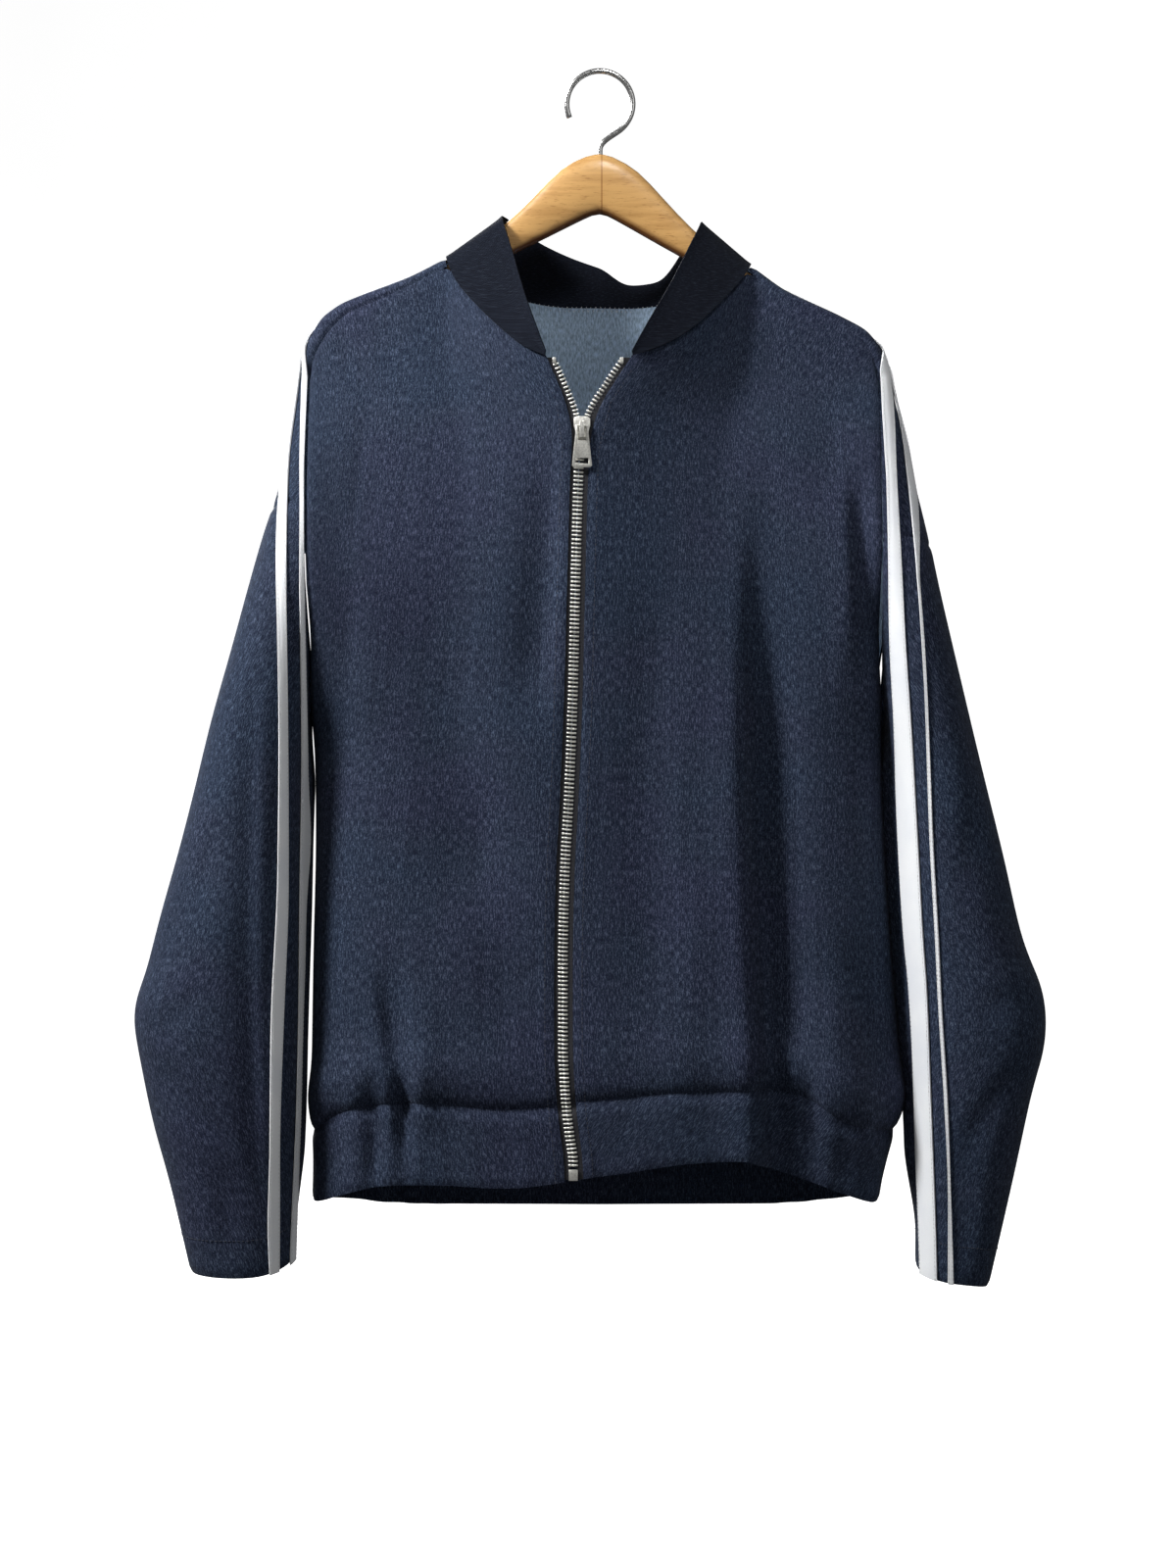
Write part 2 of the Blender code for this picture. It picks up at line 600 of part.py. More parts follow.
def make_front(side):
    columns = front_columns(side)
    columns[-1] = 1.0 - FRONT_INSET
    grid = [[front_point(side, u, v) for u in columns] for v in front_rows()]
    if side < 0:
        grid = [row[::-1] for row in grid]
    cloth("front_left" if side > 0 else "front_right", [grid], DENIM, "denim")


def make_back():
    rows = np.linspace(0.0, 1.0, 13)
    rows[0] = SEAM_GAP / 500
    turns = np.linspace(0.0, 1.0, 6)[1:]
    turns[-1] = 1.0 - 2 * SEAM_GAP / 40
    halves = {}
    for side in (1, -1):
        grid = []
        for v in rows:
            line = []
            for u in back_columns(side):
                point = back_point(side, u, v)
                if u == 1.0 and point[2] < ARMHOLE[side][-1][1] - 2.0:
                    point = back_point(side, 1.0 - SEAM_GAP / 250, v)
                line.append(point)
            grid.append(line)
        halves[side] = grid
    grids = [[left[:0:-1] + right for left, right in zip(halves[1], halves[-1])]]
    across = np.concatenate([[0.0], turns])
    for side in (1, -1):
        split = neck_share(back_section, side, BEHIND_T)
        shoulder = [u for u in back_columns(side) if u > split - 1e-9]
        turn = [[turn_point(side, u, w) for u in shoulder] for w in across]
        grids.append([row[::-1] for row in turn] if side > 0 else turn)
        drop = [[drop_point(side, c, v) for c in across] for v in DROP_LEVELS]
        grids.append([row[::-1] for row in drop] if side > 0 else drop)
    cloth("back", grids, DENIM, "denim")


def make_sleeve(side):
    columns = np.linspace(0.0, 1.0, 17)
    grid = [[sleeve_point(side, c, v, SLEEVE_INSET if v > 1.0 else 0.0) for c in columns]
            for v in SLEEVE_LEVELS]
    if side < 0:
        grid = [row[::-1] for row in grid]
    cloth("sleeve_left" if side > 0 else "sleeve_right", [grid], DENIM, "denim")


def make_collar():
    stations = np.linspace(0.0, 1.0, 19)
    line = [(-1, t) for t in stations[::-1]] + [(1, t) for t in stations[1:]]
    grid = []
    for share in np.linspace(0.0, 1.0, 4):
        row = []
        for side, t in line:
            seam = collar_curve(side, t, "b")
            edge = collar_curve(side, t, "t")
            rise = edge - seam
            lifted = seam + rise * (share + (1 - share) * 2 * SEAM_GAP / np.linalg.norm(rise))
            row.append(lifted)
        grid.append(row)
    cloth("collar", [grid], DENIM, "denim")


def make_hem_band():
    line = [(-1, u, front_section, HEM_FRONT[-1]) for u in front_columns(-1)]
    line += [(-1, u, back_section, HEM_BACK) for u in back_columns(-1)[-2::-1]]
    line += [(1, u, back_section, HEM_BACK) for u in back_columns(1)[1:]]
    line += [(1, u, front_section, HEM_FRONT[1]) for u in front_columns(1)[-2::-1]]
    columns = [band_rows(side, u, section, table) for side, u, section, table in line]
    grid = [list(row)[::-1] for row in zip(*columns)]
    cloth("hem_band", [grid], DENIM, "denim")


def stripe_angle(side, rows, height, edge):
    """The angle of a stripe's edge where a row of the cloth has its height at that angle."""
    angle = 120.0
    for _ in range(8):
        z = height(angle)
        a, b = read(rows, STRIPE_COLUMNS, z, "a", "b")
        angle = float(angle_at(side, z, a + (b - a) * edge))
    return angle


def lifted(face, side, a, b, distance):
    """A point of a face moved along its own normal, outward where the distance is positive.
    The face runs along the arm or the height first, then round it."""
    step = 0.002
    along_a = face(a + step, b) - face(a - step, b)
    along_b = face(a, b + step) - face(a, b - step)
    normal = np.cross(along_a, along_b)
    return face(a, b) - side * distance * normal / np.linalg.norm(normal)


def make_stripe(name, side, rows):
    """A stripe over the shoulder and down the arm, with a row at each row of the cloth."""
    over_lane = OVER_LANES[name]
    away = LAY_GAP + STRIPE

    def over(u, w):
        return turn_point(side, u, w)

    def drop(v, c):
        return drop_point(side, c, v)

    def sleeve(v, c):
        return sleeve_point(side, c, v)

    def sleeve_height(level):
        def height(angle):
            if level <= 1.0:
                low = float(read(CUFF[side], CUFF_COLUMNS, angle, "z"))
                return low + (UNDERARM_Z - low) * level
            top = float(read(ARMHOLE[side], ARMHOLE_COLUMNS, angle, "z"))
            return UNDERARM_Z + (top - UNDERARM_Z) * (level - 1.0)
        return height

    edges = np.linspace(0.0, 1.0, STRIPE_POINTS[name])
    grid = []
    for level in SLEEVE_LEVELS:
        height = sleeve_height(level)
        row = []
        for edge in edges:
            angle = stripe_angle(side, rows, height, edge)
            z = height(angle)
            start = float(front_angle(side, z)) if level > 1.0 else 0.0
            end = float(back_angle(side, z)) if level > 1.0 else 360.0
            share = (angle - start) / (end - start)
            row.append(lifted(sleeve, side, level, share, away + SLEEVE_LIFT))
        grid.append(row)
    for level in DROP_LEVELS[1:]:
        lane = read(STRIPE_LANES[name], LANE_COLUMNS, level, "a", "b")
        places = lane[0] + (lane[1] - lane[0]) * edges
        lift = SLEEVE_LIFT + (TURN_LIFT - SLEEVE_LIFT) * level
        grid.append([lifted(drop, side, level, c, -away - lift) for c in places])
    columns = back_columns(side)[-len(SHOULDER[side]) - 1:-1]
    turn_steps = [(columns[-2] + (1.0 - columns[-2]) * k, 1.0 - (1.0 - k) ** 2 * (1.0 + 2.0 * k))
                  for k in np.linspace(0.9, 0.0, 10)]
    for u, blend in turn_steps + [(u, 0.0) for u in columns[-3::-1]]:
        lanes = over_lane[0] + (over_lane[1] - over_lane[0]) * edges
        shares = lanes + (places - lanes) * blend
        grid.append([lifted(over, side, u, w, away + TURN_LIFT) for w in shares])
    if side < 0:
        grid = [row[::-1] for row in grid]
    cloth("stripe_" + name, [grid], STRIPE, "stripe")


def front_edge(side, z, reach):
    """A point of the front's first strip of cloth at a height, a reach in from the zip edge."""
    lines = []
    for u in front_columns(side)[:2]:
        column = band_rows(side, u, front_section, HEM_FRONT[side])
        column += [front_point(side, u, v) for v in front_rows()]
        column = np.array(column)
        lines.append(np.array([np.interp(z, column[:, 2], column[:, i]) for i in range(3)]))
    across = lines[1] - lines[0]
    return lines[0] + across * reach / np.linalg.norm(across)


def make_tape(side):
    """One side of the zip: the part that shows beside the chain, then the part underneath."""
    beside_box = BOX_SIZE[0] / 2 + RUN_GAP
    rows = [(TAPE_BOTTOM, beside_box), (BOX_TOP + RUN_GAP, beside_box), (BOX_TOP + 1.2, CHAIN_GAP)]
    rows += [(z, CHAIN_GAP) for z in np.linspace(BOX_TOP + 6.0, -252.0, 14)]
    rows += [(z, CHAIN_GAP) for z in (-247.0, -241.0, -235.0, -228.0, -218.0, -208.0, TAPE_TOP)]
    behind = DENIM + LAY_GAP
    grid = []
    for z, gap in rows:
        edge = front_edge(side, z, 0.0)
        under = front_edge(side, z, TAPE_UNDER)
        across = (under - edge) / TAPE_UNDER
        inward = np.array([-side * across[1], abs(across[0]), 0.0]) * (behind + TAPE_SINK)
        edge = edge + inward
        under = under + inward
        inner = np.array([zip_x(side, z) + side * gap, edge[1], z])
        row = [inner, edge, (edge + under) / 2, under]
        grid.append(row if side > 0 else row[::-1])
    cloth("zip_tape_left" if side > 0 else "zip_tape_right", [grid], TAPE, "tape")


def tape_depth(z):
    """The depth of the tape's front face beside the chain."""
    return front_edge(1, z, 0.0)[1] + DENIM + LAY_GAP


def make_slider():
    """Two plates with the tapes between them, a post between the tapes, and a bridge."""
    bottom = SLIDER_TOP - SLIDER_HEIGHT
    shoulder = SLIDER_TOP - 0.4 * SLIDER_HEIGHT
    face = tape_depth(SLIDER_TOP) - TEETH_ROOM
    rear = tape_depth(SLIDER_TOP) + TAPE + TEETH_ROOM
    wide = SLIDER_WIDE / 2
    narrow = SLIDER_NARROW / 2
    corner = 1.6
    half = [(narrow, bottom), (narrow, bottom + 5.0), (wide, shoulder), (wide, SLIDER_TOP - corner),
            (wide - corner, SLIDER_TOP)]
    outline = [(SLIDER_X + x, z) for x, z in half] + [(SLIDER_X - x, z) for x, z in half[::-1]]
    plate = prism("zip_slider", outline, face - SLIDER_PLATE, face, "zip_metal")
    behind = prism("slider_back_plate", outline, rear, rear + SLIDER_PLATE, "zip_metal")
    post_z = SLIDER_TOP - 0.3 - POST[1] / 2
    post_outline, _, _ = box((SLIDER_X, 0.0, post_z), (POST[0], 1.0, POST[1]))
    post = prism("slider_post", post_outline, face - 0.5 * SLIDER_PLATE, rear + 0.5 * SLIDER_PLATE,
                 "zip_metal")
    front = face - SLIDER_PLATE
    bridge_z = SLIDER_TOP - BRIDGE_DROP - BRIDGE_HEIGHT / 2
    frame, _, _ = box((SLIDER_X, 0.0, bridge_z), (BRIDGE_WIDTH, 1.0, BRIDGE_HEIGHT))
    bridge = prism("slider_bridge", frame, front - BRIDGE_ROOM - BRIDGE_BAR,
                   front + 0.5 * SLIDER_PLATE, "zip_metal")
    room, _, _ = box((SLIDER_X, 0.0, bridge_z),
                     (2 * BRIDGE_WIDTH, 1.0, BRIDGE_HEIGHT - 2 * BRIDGE_LEG))
    hole = prism("slider_bridge_hole", room, front - BRIDGE_ROOM, front, "zip_metal")
    combine(plate, behind, "UNION")
    combine(plate, post, "UNION")
    combine(plate, bridge, "UNION")
    combine(plate, hole, "DIFFERENCE")
    return front


def make_pull(front):
    """The pull tab hangs from the bridge by the bar over its window."""
    bar_z = SLIDER_TOP - BRIDGE_DROP - BRIDGE_LEG - RUN_GAP - TAB_BAR / 2
    axis_y = front - BRIDGE_ROOM / 2
    top = bar_z + TAB_BAR / 2
    low = top - TAB_LENGTH
    corner = 1.2
    half = [(TAB_BOTTOM_WIDTH / 2 - corner, low), (TAB_BOTTOM_WIDTH / 2, low + corner),
            (TAB_TOP_WIDTH / 2, top - 6.0), (TAB_TOP_WIDTH / 2, top - corner),
            (TAB_TOP_WIDTH / 2 - corner, top)]
    outline = half + [(-x, z) for x, z in half[::-1]]
    local = [(x, z - bar_z) for x, z in outline]
    tab = prism("zip_pull", local, -TAB_THICK / 2, TAB_THICK / 2, "zip_metal")
    tab.location = (SLIDER_X * MM, axis_y * MM, bar_z * MM)
    window_z = bar_z - TAB_BAR / 2 - TAB_WINDOW[1] / 2
    slot_z = low + 2.4 + TAB_SLOT[1] / 2
    for label, size, z in (("window", TAB_WINDOW, window_z), ("slot", TAB_SLOT, slot_z)):
        shape, _, _ = box((SLIDER_X, 0.0, z), (size[0], 1.0, size[1]))
        cutter = prism("pull_" + label, shape, axis_y - TAB_THICK, axis_y + TAB_THICK, "zip_metal")
        combine(tab, cutter, "DIFFERENCE")


def make_zip_ends():
    """The box at the foot of the zip and the stop at the head of each tape."""
    middle = tape_depth(BOX_TOP) + TAPE / 2
    x = float(zip_x(1, BOX_TOP))
    prism("zip_box", *box((x, middle, BOX_TOP - BOX_SIZE[2] / 2), BOX_SIZE), "zip_metal")
    for side in (1, -1):
        z = TAPE_TOP - STOP_SIZE[2] / 2
        x = float(zip_x(side, z)) + side * (STOP_SIZE[0] / 2 + 0.4)
        y = tape_depth(z) - LAY_GAP - STOP_SIZE[1] / 2
        prism("zip_stop_left" if side > 0 else "zip_stop_right", *box((x, y, z), STOP_SIZE),
              "zip_metal")


def make_hanger():
    stations = [row[0] for row in HANGER]
    xs = np.array([-x for x in stations[:0:-1]] + stations, dtype=float)
    top, bottom, half = read(HANGER, HANGER_COLUMNS, np.abs(xs), "top", "bottom", "half_thick")
    count = 16
    bm = bmesh.new()
    loops = []
    for x, high, low, thick in zip(xs, top, bottom, half):
        loop = []
        for k in range(count):
            turn = 2 * math.pi * (k + 0.5) / count
            c, s = math.cos(turn), math.sin(turn)
            y = thick * math.copysign(abs(c) ** 0.7, c)
            z = (high + low) / 2 + (high - low) / 2 * math.copysign(abs(s) ** 0.8, s)
            loop.append(bm.verts.new((x * MM, y * MM, (z - x * HANGER_SLOPE) * MM)))
        loops.append(loop)
    for a, b in zip(loops, loops[1:]):
        for k in range(count):
            bm.faces.new((a[k], a[(k + 1) % count], b[(k + 1) % count], b[k]))
    bm.faces.new(loops[0])
    bm.faces.new(loops[-1][::-1])
    bmesh.ops.recalc_face_normals(bm, faces=bm.faces)
    mesh = bpy.data.meshes.new("hanger_wood")
    bm.to_mesh(mesh)
    bm.free()
    wood = add_object("hanger_wood", mesh, "wood")
    depth = HOOK_BORE_DEPTH * MM
    top_z = HANGER[0][1] * MM
    bpy.ops.mesh.primitive_cylinder_add(vertices=16, radius=(HOOK_WIRE + 0.3) * MM, depth=2 * depth,
                                        location=(0.0, 0.0, top_z))
    bore = bpy.context.object
    bore.name = "hook_bore"
    combine(wood, bore, "DIFFERENCE")


def make_hook():
    """Round wire: a shank in the wood, a lean to one side, and an arc over the rail."""
    bottom = HANGER[0][1] - HOOK_BORE_DEPTH + 0.4
    first = math.radians(HOOK_START)
    start = np.array([HOOK_BEND * math.cos(first), HOOK_CENTRE_Z - HOOK_WIRE - 0.0
                      + HOOK_BEND * math.sin(first)])
    points = [(0.0, bottom), (0.0, -54.0)]
    foot = np.array([0.0, -52.0])
    leave = np.array([0.0, 16.0])
    arrive = np.array([-math.sin(first), math.cos(first)]) * 16.0
    for s in np.linspace(0.0, 1.0, 9)[:-1]:
        p = ((1 + 2 * s) * (1 - s) ** 2 * foot + s * (1 - s) ** 2 * leave
             + s * s * (3 - 2 * s) * start + s * s * (s - 1) * arrive)
        points.append(tuple(p))
    for degrees in np.linspace(HOOK_START, HOOK_END, 30):
        turn = math.radians(degrees)
        points.append((HOOK_BEND * math.cos(turn),
                       HOOK_CENTRE_Z - HOOK_WIRE + HOOK_BEND * math.sin(turn)))
    curve = bpy.data.curves.new("hanger_hook", "CURVE")
    curve.dimensions = "3D"
    curve.bevel_depth = HOOK_WIRE * MM
    curve.bevel_resolution = 3
    curve.use_fill_caps = True
    line = curve.splines.new("POLY")
    line.points.add(len(points) - 1)
    for slot, (x, z) in zip(line.points, points):
        slot.co = (x * MM, 0.0, z * MM, 1.0)
    obj = bpy.data.objects.new("hanger_hook", curve)
    bpy.context.scene.collection.objects.link(obj)
    curve.materials.append(material("hook_steel"))


def main():
    for obj in list(bpy.data.objects):
        bpy.data.objects.remove(obj, do_unlink=True)
    for side in (1, -1):
        make_front(side)
        make_sleeve(side)
    make_back()
    make_collar()
    make_hem_band()
    for name, (side, rows) in STRIPES.items():
        make_stripe(name, side, rows)
    for side in (1, -1):
        make_tape(side)
    make_pull(make_slider())
    make_zip_ends()
    make_hanger()
    make_hook()


main()
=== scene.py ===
"""A dark denim bomber jacket with white sleeve stripes, hung on a wooden hanger.

The tables are in millimetres and the objects in metres. -Y is the jacket's front, +X the wearer's
left, and the origin is where a rail carries the hook. Side +1 is the wearer's left, -1 the right.
"""
import functools
import math

import bmesh
import bpy
import numpy as np
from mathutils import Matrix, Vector, kdtree


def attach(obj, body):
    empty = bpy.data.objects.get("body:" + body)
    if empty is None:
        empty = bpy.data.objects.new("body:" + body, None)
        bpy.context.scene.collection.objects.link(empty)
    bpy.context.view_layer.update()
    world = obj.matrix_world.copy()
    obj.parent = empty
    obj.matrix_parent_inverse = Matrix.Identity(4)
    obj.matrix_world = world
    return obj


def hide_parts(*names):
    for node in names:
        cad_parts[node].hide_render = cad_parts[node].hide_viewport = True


bl_info = {
    "name": "Denim Bomber Jacket on Hanger",
    "version": (1, 0, 0),
    "blender": (4, 5, 0),
    "location": "View3D > Sidebar > Jacket",
    "description": "Builds a striped denim bomber jacket with its zip, stitching and wooden hanger",
    "category": "Add Mesh",
}

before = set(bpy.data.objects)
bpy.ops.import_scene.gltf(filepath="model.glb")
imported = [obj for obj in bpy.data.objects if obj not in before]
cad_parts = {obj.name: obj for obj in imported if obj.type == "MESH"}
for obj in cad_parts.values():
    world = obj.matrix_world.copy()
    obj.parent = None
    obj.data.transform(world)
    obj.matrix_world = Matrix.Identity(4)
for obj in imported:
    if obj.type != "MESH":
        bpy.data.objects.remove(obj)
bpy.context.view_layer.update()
MM = 0.001

# walls of the cloth, and the air between a stripe or tape and the cloth it lies on
DENIM = 1.4
TAPE = 1.0
STRIPE = 1.0
LAY_GAP = 0.35
SIDES = (("right", -1), ("left", 1))

# rows and columns of each piece, as shares of its height and width; on the sleeve 1 is the
# underarm and 2 the armhole seam
FRONT_LEVELS = np.linspace(0.0, 1.0, 17)
BACK_LEVELS = np.linspace(0.0, 1.0, 13)
BAND_LEVELS = np.linspace(0.0, 1.0, 5)
COLLAR_LEVELS = np.linspace(0.0, 1.0, 6)
DROP_LEVELS = (0.0, 0.25, 0.5, 0.75, 0.875, 1.0)
SLEEVE_LEVELS = (*(step / 12 for step in range(13)), 1.14, 1.32, 1.56, 1.8, 2.0)
SLEEVE_COLUMNS = 29
COLLAR_STATIONS = 31

# the zip: the chain line of each side by height, and the panel's edge beside it
ZIP_COLUMNS = ("z", "right", "left")
ZIP_LINE = (
    (-196, -29.5, 14.5), (-210, -23.2, 5.2), (-235, -13.9, -9.5), (-247, -12.2, -12.2),
    (-270, -13.8, -13.8), (-348, -16.0, -16.0), (-412, -17.5, -17.5), (-477, -20.0, -20.0),
    (-536, -23.0, -23.0), (-590, -24.0, -24.0), (-641, -24.0, -24.0), (-666, -23.0, -23.0),
    (-686, -21.5, -21.5), (-702, -19.5, -19.5), (-716, -17.5, -17.5), (-740, -17.0, -17.0),
)
EDGE_TO_CHAIN = {-1: 5.8, 1: 6.4}
TAPE_UNDER = 8.5
TAPE_TOP = -197.0
TAPE_BOTTOM = -729.0
TAPE_ROWS = 96
CHAIN_GAP = 0.2
TAPE_SINK = 0.3

# front and back panels: how deep each stands by height, and how square its section is
PANEL_COLUMNS = ("z", "depth", "square")
FRONT = {
    1: ((-196, 56, 1.9), (-250, 58, 2.1), (-309, 58, 2.6), (-380, 57, 3.2), (-434, 56, 3.4),
        (-520, 55, 3.4), (-600, 56, 3.4), (-660, 58, 3.4), (-690, 57, 3.2), (-760, 55, 3.0)),
    -1: ((-196, 56, 2.2), (-250, 58, 2.4), (-309, 58, 2.7), (-380, 57, 3.0), (-434, 56, 3.2),
         (-520, 55, 3.4), (-600, 56, 3.4), (-660, 57, 3.4), (-690, 56, 3.2), (-760, 55, 3.0)),
}
BACK = ((-152, 38, 2.2), (-205, 43, 2.2), (-300, 48, 2.6), (-434, 50, 3.0), (-600, 52, 3.2),
        (-690, 52, 3.0), (-760, 49, 2.8))

# side seams below the underarm
SIDE_COLUMNS = ("z", "x", "y")
SIDE = {
    1: ((-434, 186.6, -4), (-450, 186.6, 1), (-500, 188, 4), (-577, 193, 5), (-640, 198, 5),
        (-680, 201, 5), (-702, 197, 5), (-718, 193, 5), (-740, 187, 5), (-760, 184, 5)),
    -1: ((-434, 189.6, -8), (-450, 188.6, 0), (-500, 188, 4), (-600, 190, 5), (-690, 191, 5),
         (-720, 190, 5), (-760, 191, 5)),
}
UNDERARM_Z = -434.0

# hem seam and hem edge by distance from the middle
HEM_COLUMNS = ("x", "seam", "edge")
HEM_FRONT = {
    1: ((-20, -680, -729.5), (18, -677, -724.5), (57, -673.5, -719), (96, -673, -717),
        (122, -674, -727), (134, -677, -730), (145, -689, -733), (168, -698, -741),
        (190, -702, -748)),
    -1: ((16, -682, -729.5), (64, -684.6, -735), (110, -681, -733), (139, -682, -733.5),
         (170, -689, -741), (189, -702, -748)),
}
ZIP_AT_HEM = -17.0
HEM_LEVEL = -700.0
HEM_BACK = ((0, -706, -758), (120, -706, -757), (200, -702, -748))

# arms: the ring of the sleeve, and of the dropped shoulder above it, by height
ARM_COLUMNS = ("z", "inner", "seam", "outer", "middle", "depth")
ARM = {
    1: ((-205, 165, 184, 192, 0, 30), (-227, 160, 184, 197, -1, 46),
        (-250, 160, 184, 203.5, -2, 60), (-276, 162, 184, 209, -3, 72),
        (-309, 167, 184, 217, -4, 84), (-343, 174, 183, 224, -4, 94),
        (-382, 181, 183.5, 233, -4, 100), (-434, 187, 187, 245.5, -4, 104),
        (-470, 192, 192, 254, -6, 104), (-520, 195, 195, 266, -9, 102),
        (-577, 198.5, 198.5, 279, -13, 98), (-616, 201.5, 201.5, 293, -16, 94),
        (-636, 203, 203, 293.5, -17, 91), (-675, 206, 206, 284, -17, 84),
        (-730, 208, 208, 272.5, -15, 72), (-804, 208, 208, 256, -12, 60)),
    -1: ((-207, 170, 192, 200, 0, 30), (-227, 168, 192, 203, -1, 44),
         (-246, 168, 192, 206, -2, 56), (-276, 168, 192, 212, -3, 70),
         (-309, 172, 192, 222.5, -4, 84), (-343, 178, 191, 232, -5, 94),
         (-382, 185, 189.5, 242.5, -6, 100), (-434, 190, 190, 257, -8, 104),
         (-480, 192.5, 192.5, 268, -10, 104), (-519, 193.5, 193.5, 278, -12, 102),
         (-558, 194, 194, 289, -14, 100), (-597, 195, 195, 299, -16, 96),
         (-623, 195.5, 195.5, 307, -17, 93), (-655, 196, 196, 302, -18, 88),
         (-694, 197, 197, 294, -18, 82), (-733, 199, 199, 283.5, -16, 74),
         (-797, 200.5, 200.5, 269, -13, 62)),
}
ARM_SQUARE = 2.3
BEHIND_ANGLE = 270.0

# by angle round the arm: the seam that joins the sleeve to the dropped shoulder, and the cuff
RING_COLUMNS = ("angle", "z")
ARMHOLE = {
    1: ((60, -309), (110, -312), (180, -318), (230, -327), (270, -336)),
    -1: ((60, -286), (110, -288), (180, -293), (230, -304), (270, -318)),
}
CUFF = {
    1: ((0, -791), (90, -799), (180, -803), (270, -798), (360, -791)),
    -1: ((0, -784), (90, -795), (180, -793), (270, -790), (360, -784)),
}

# shoulders: the forward seam and the ridge over the hanger's arm
SHOULDER_COLUMNS = ("seam_x", "seam_y", "seam_z", "ridge_x", "ridge_z")
SHOULDER = {
    1: ((122, -13, -153, 122, -146), (152, -13, -167, 153, -160), (173, -13, -179, 176, -172.5),
        (179, -13.5, -187, 186, -185)),
    -1: ((125, -13, -144, 124, -136.5), (152, -13, -156, 152, -147),
         (168, -13, -163, 170, -154.5), (180, -13, -175, 184, -164.5),
         (190, -13.5, -193, 195, -184)),
}
SHOULDER_TIP_Z = {1: -205.0, -1: -207.0}
TIP_RIDGE = {1: (192.0, -202.0), -1: (200.0, -205.0)}

# collar band: its neck seam (b) and its free edge (t), from the back round to the zip
COLLAR_COLUMNS = ("t", "bx", "by", "bz", "tx", "ty", "tz")
COLLAR = {
    1: ((0, 0, 38, -152, 2, 48, -124), (0.12, 22, 38, -152.5, 21, 49, -135),
        (0.22, 42, 35, -151, 39, 47, -133), (0.36, 66, 27, -145, 57, 35, -112),
        (0.49, 88, 17, -138.5, 66, 16, -102), (0.55, 97, 8, -130.5, 66.5, 7, -100.5),
        (0.6, 100, 0, -128.8, 66.5, 0, -101), (0.645, 98, -9, -133.5, 66, -7, -103),
        (0.7, 90, -19, -145, 64, -13, -108), (0.77, 76, -31, -161, 57, -25, -123),
        (0.85, 57, -43, -179, 45, -38, -148), (0.93, 37, -52, -190.5, 31, -50.5, -173)),
    -1: ((0, 0, 38, -152, -2, 48, -124), (0.12, 22, 38, -152, 18, 48, -117),
         (0.22, 42, 36, -150, 38, 46, -108), (0.36, 68, 27, -143, 54, 36, -99),
         (0.49, 90, 17, -134.5, 62, 16, -95), (0.55, 99, 8, -126, 64, 7, -96),
         (0.6, 101.5, 0, -123.6, 64, 0, -98), (0.645, 100, -9, -130, 63.5, -7, -101),
         (0.7, 95, -17, -141.5, 62, -12, -107), (0.77, 85, -28, -155, 57.5, -21, -122),
         (0.85, 65, -42, -176, 50, -37, -149), (0.93, 48, -52, -190.5, 42, -51, -173)),
}
COLLAR_END_HEIGHT = 3.0
NECK_POINT_T = 0.645
RIDGE_T = 0.59
BEHIND_T = 0.53
NECK_INSET = 0.008

# stripes: the side each is on, and its two edges by height on the arm
STRIPE_COLUMNS = ("z", "a", "b")
STRIPES = {
    "left_wide": (1, ((-310, 187, 194.7), (-317, 187.2, 195),
                      (-369, 188.6, 197.4), (-450, 193.4, 203), (-516, 196.4, 206.8),
                      (-577, 200, 210), (-600, 202.2, 211.9), (-675, 206.6, 215.2),
                      (-749, 209.2, 218.4), (-790, 210.4, 219.7))),
    "left_narrow": (1, ((-310, 203.4, 207.6), (-330, 204.8, 206.6), (-384, 208.1, 209.9),
                        (-450, 211.3, 213.2), (-508, 213.4, 215.4), (-577, 217.2, 219.2),
                        (-619, 219.3, 221.2), (-675, 223, 225), (-749, 226.4, 228.4),
                        (-795, 226.4, 230))),
    "right_wide": (-1, ((-288, 203.5, 209.6), (-317, 203.4, 209.9),
                        (-430, 202.9, 208), (-538, 203, 209.2), (-625, 206, 213.2),
                        (-712, 208.7, 214.5), (-766, 209.3, 216.4), (-786, 209.6, 215.4))),
    "right_narrow": (-1, ((-288, 192.6, 195.3), (-317, 192.5, 195.2),
                          (-430, 192.4, 195), (-538, 193.9, 196.6), (-625, 195.8, 197.6),
                          (-690, 197.2, 199), (-731, 199.1, 201), (-784, 200.7, 203.4))),
}
# the same stripes on the dropped shoulder, by level from the armhole (0) up, as shares of the way
# from behind (0) to the forward seam (1)
LANE_COLUMNS = ("level", "a", "b")
STRIPE_LANES = {
    "left_wide": ((0.0, 0.966, 0.897), (0.25, 0.975, 0.903), (0.5, 0.978, 0.881),
                  (0.75, 0.979, 0.822), (1.0, 0.97, 0.74)),
    "left_narrow": ((0.0, 0.798, 0.745), (0.25, 0.788, 0.68), (0.5, 0.762, 0.66),
                    (0.75, 0.7, 0.58), (1.0, 0.62, 0.47)),
    "right_wide": ((0.0, 0.856, 0.751), (0.25, 0.803, 0.642), (0.5, 0.772, 0.6),
                   (0.75, 0.79, 0.63), (1.0, 0.81, 0.67)),
    "right_narrow": ((0.0, 0.985, 0.955), (0.25, 0.985, 0.945), (0.5, 0.985, 0.93),
                     (0.75, 0.985, 0.91), (1.0, 0.98, 0.88)),
}
# and over the shoulder, where their shares stay the same up to the neck
OVER_LANES = {"left_wide": (0.47, 0.28), "left_narrow": (0.21, 0.02),
              "right_wide": (0.21, 0.02), "right_narrow": (0.47, 0.28)}
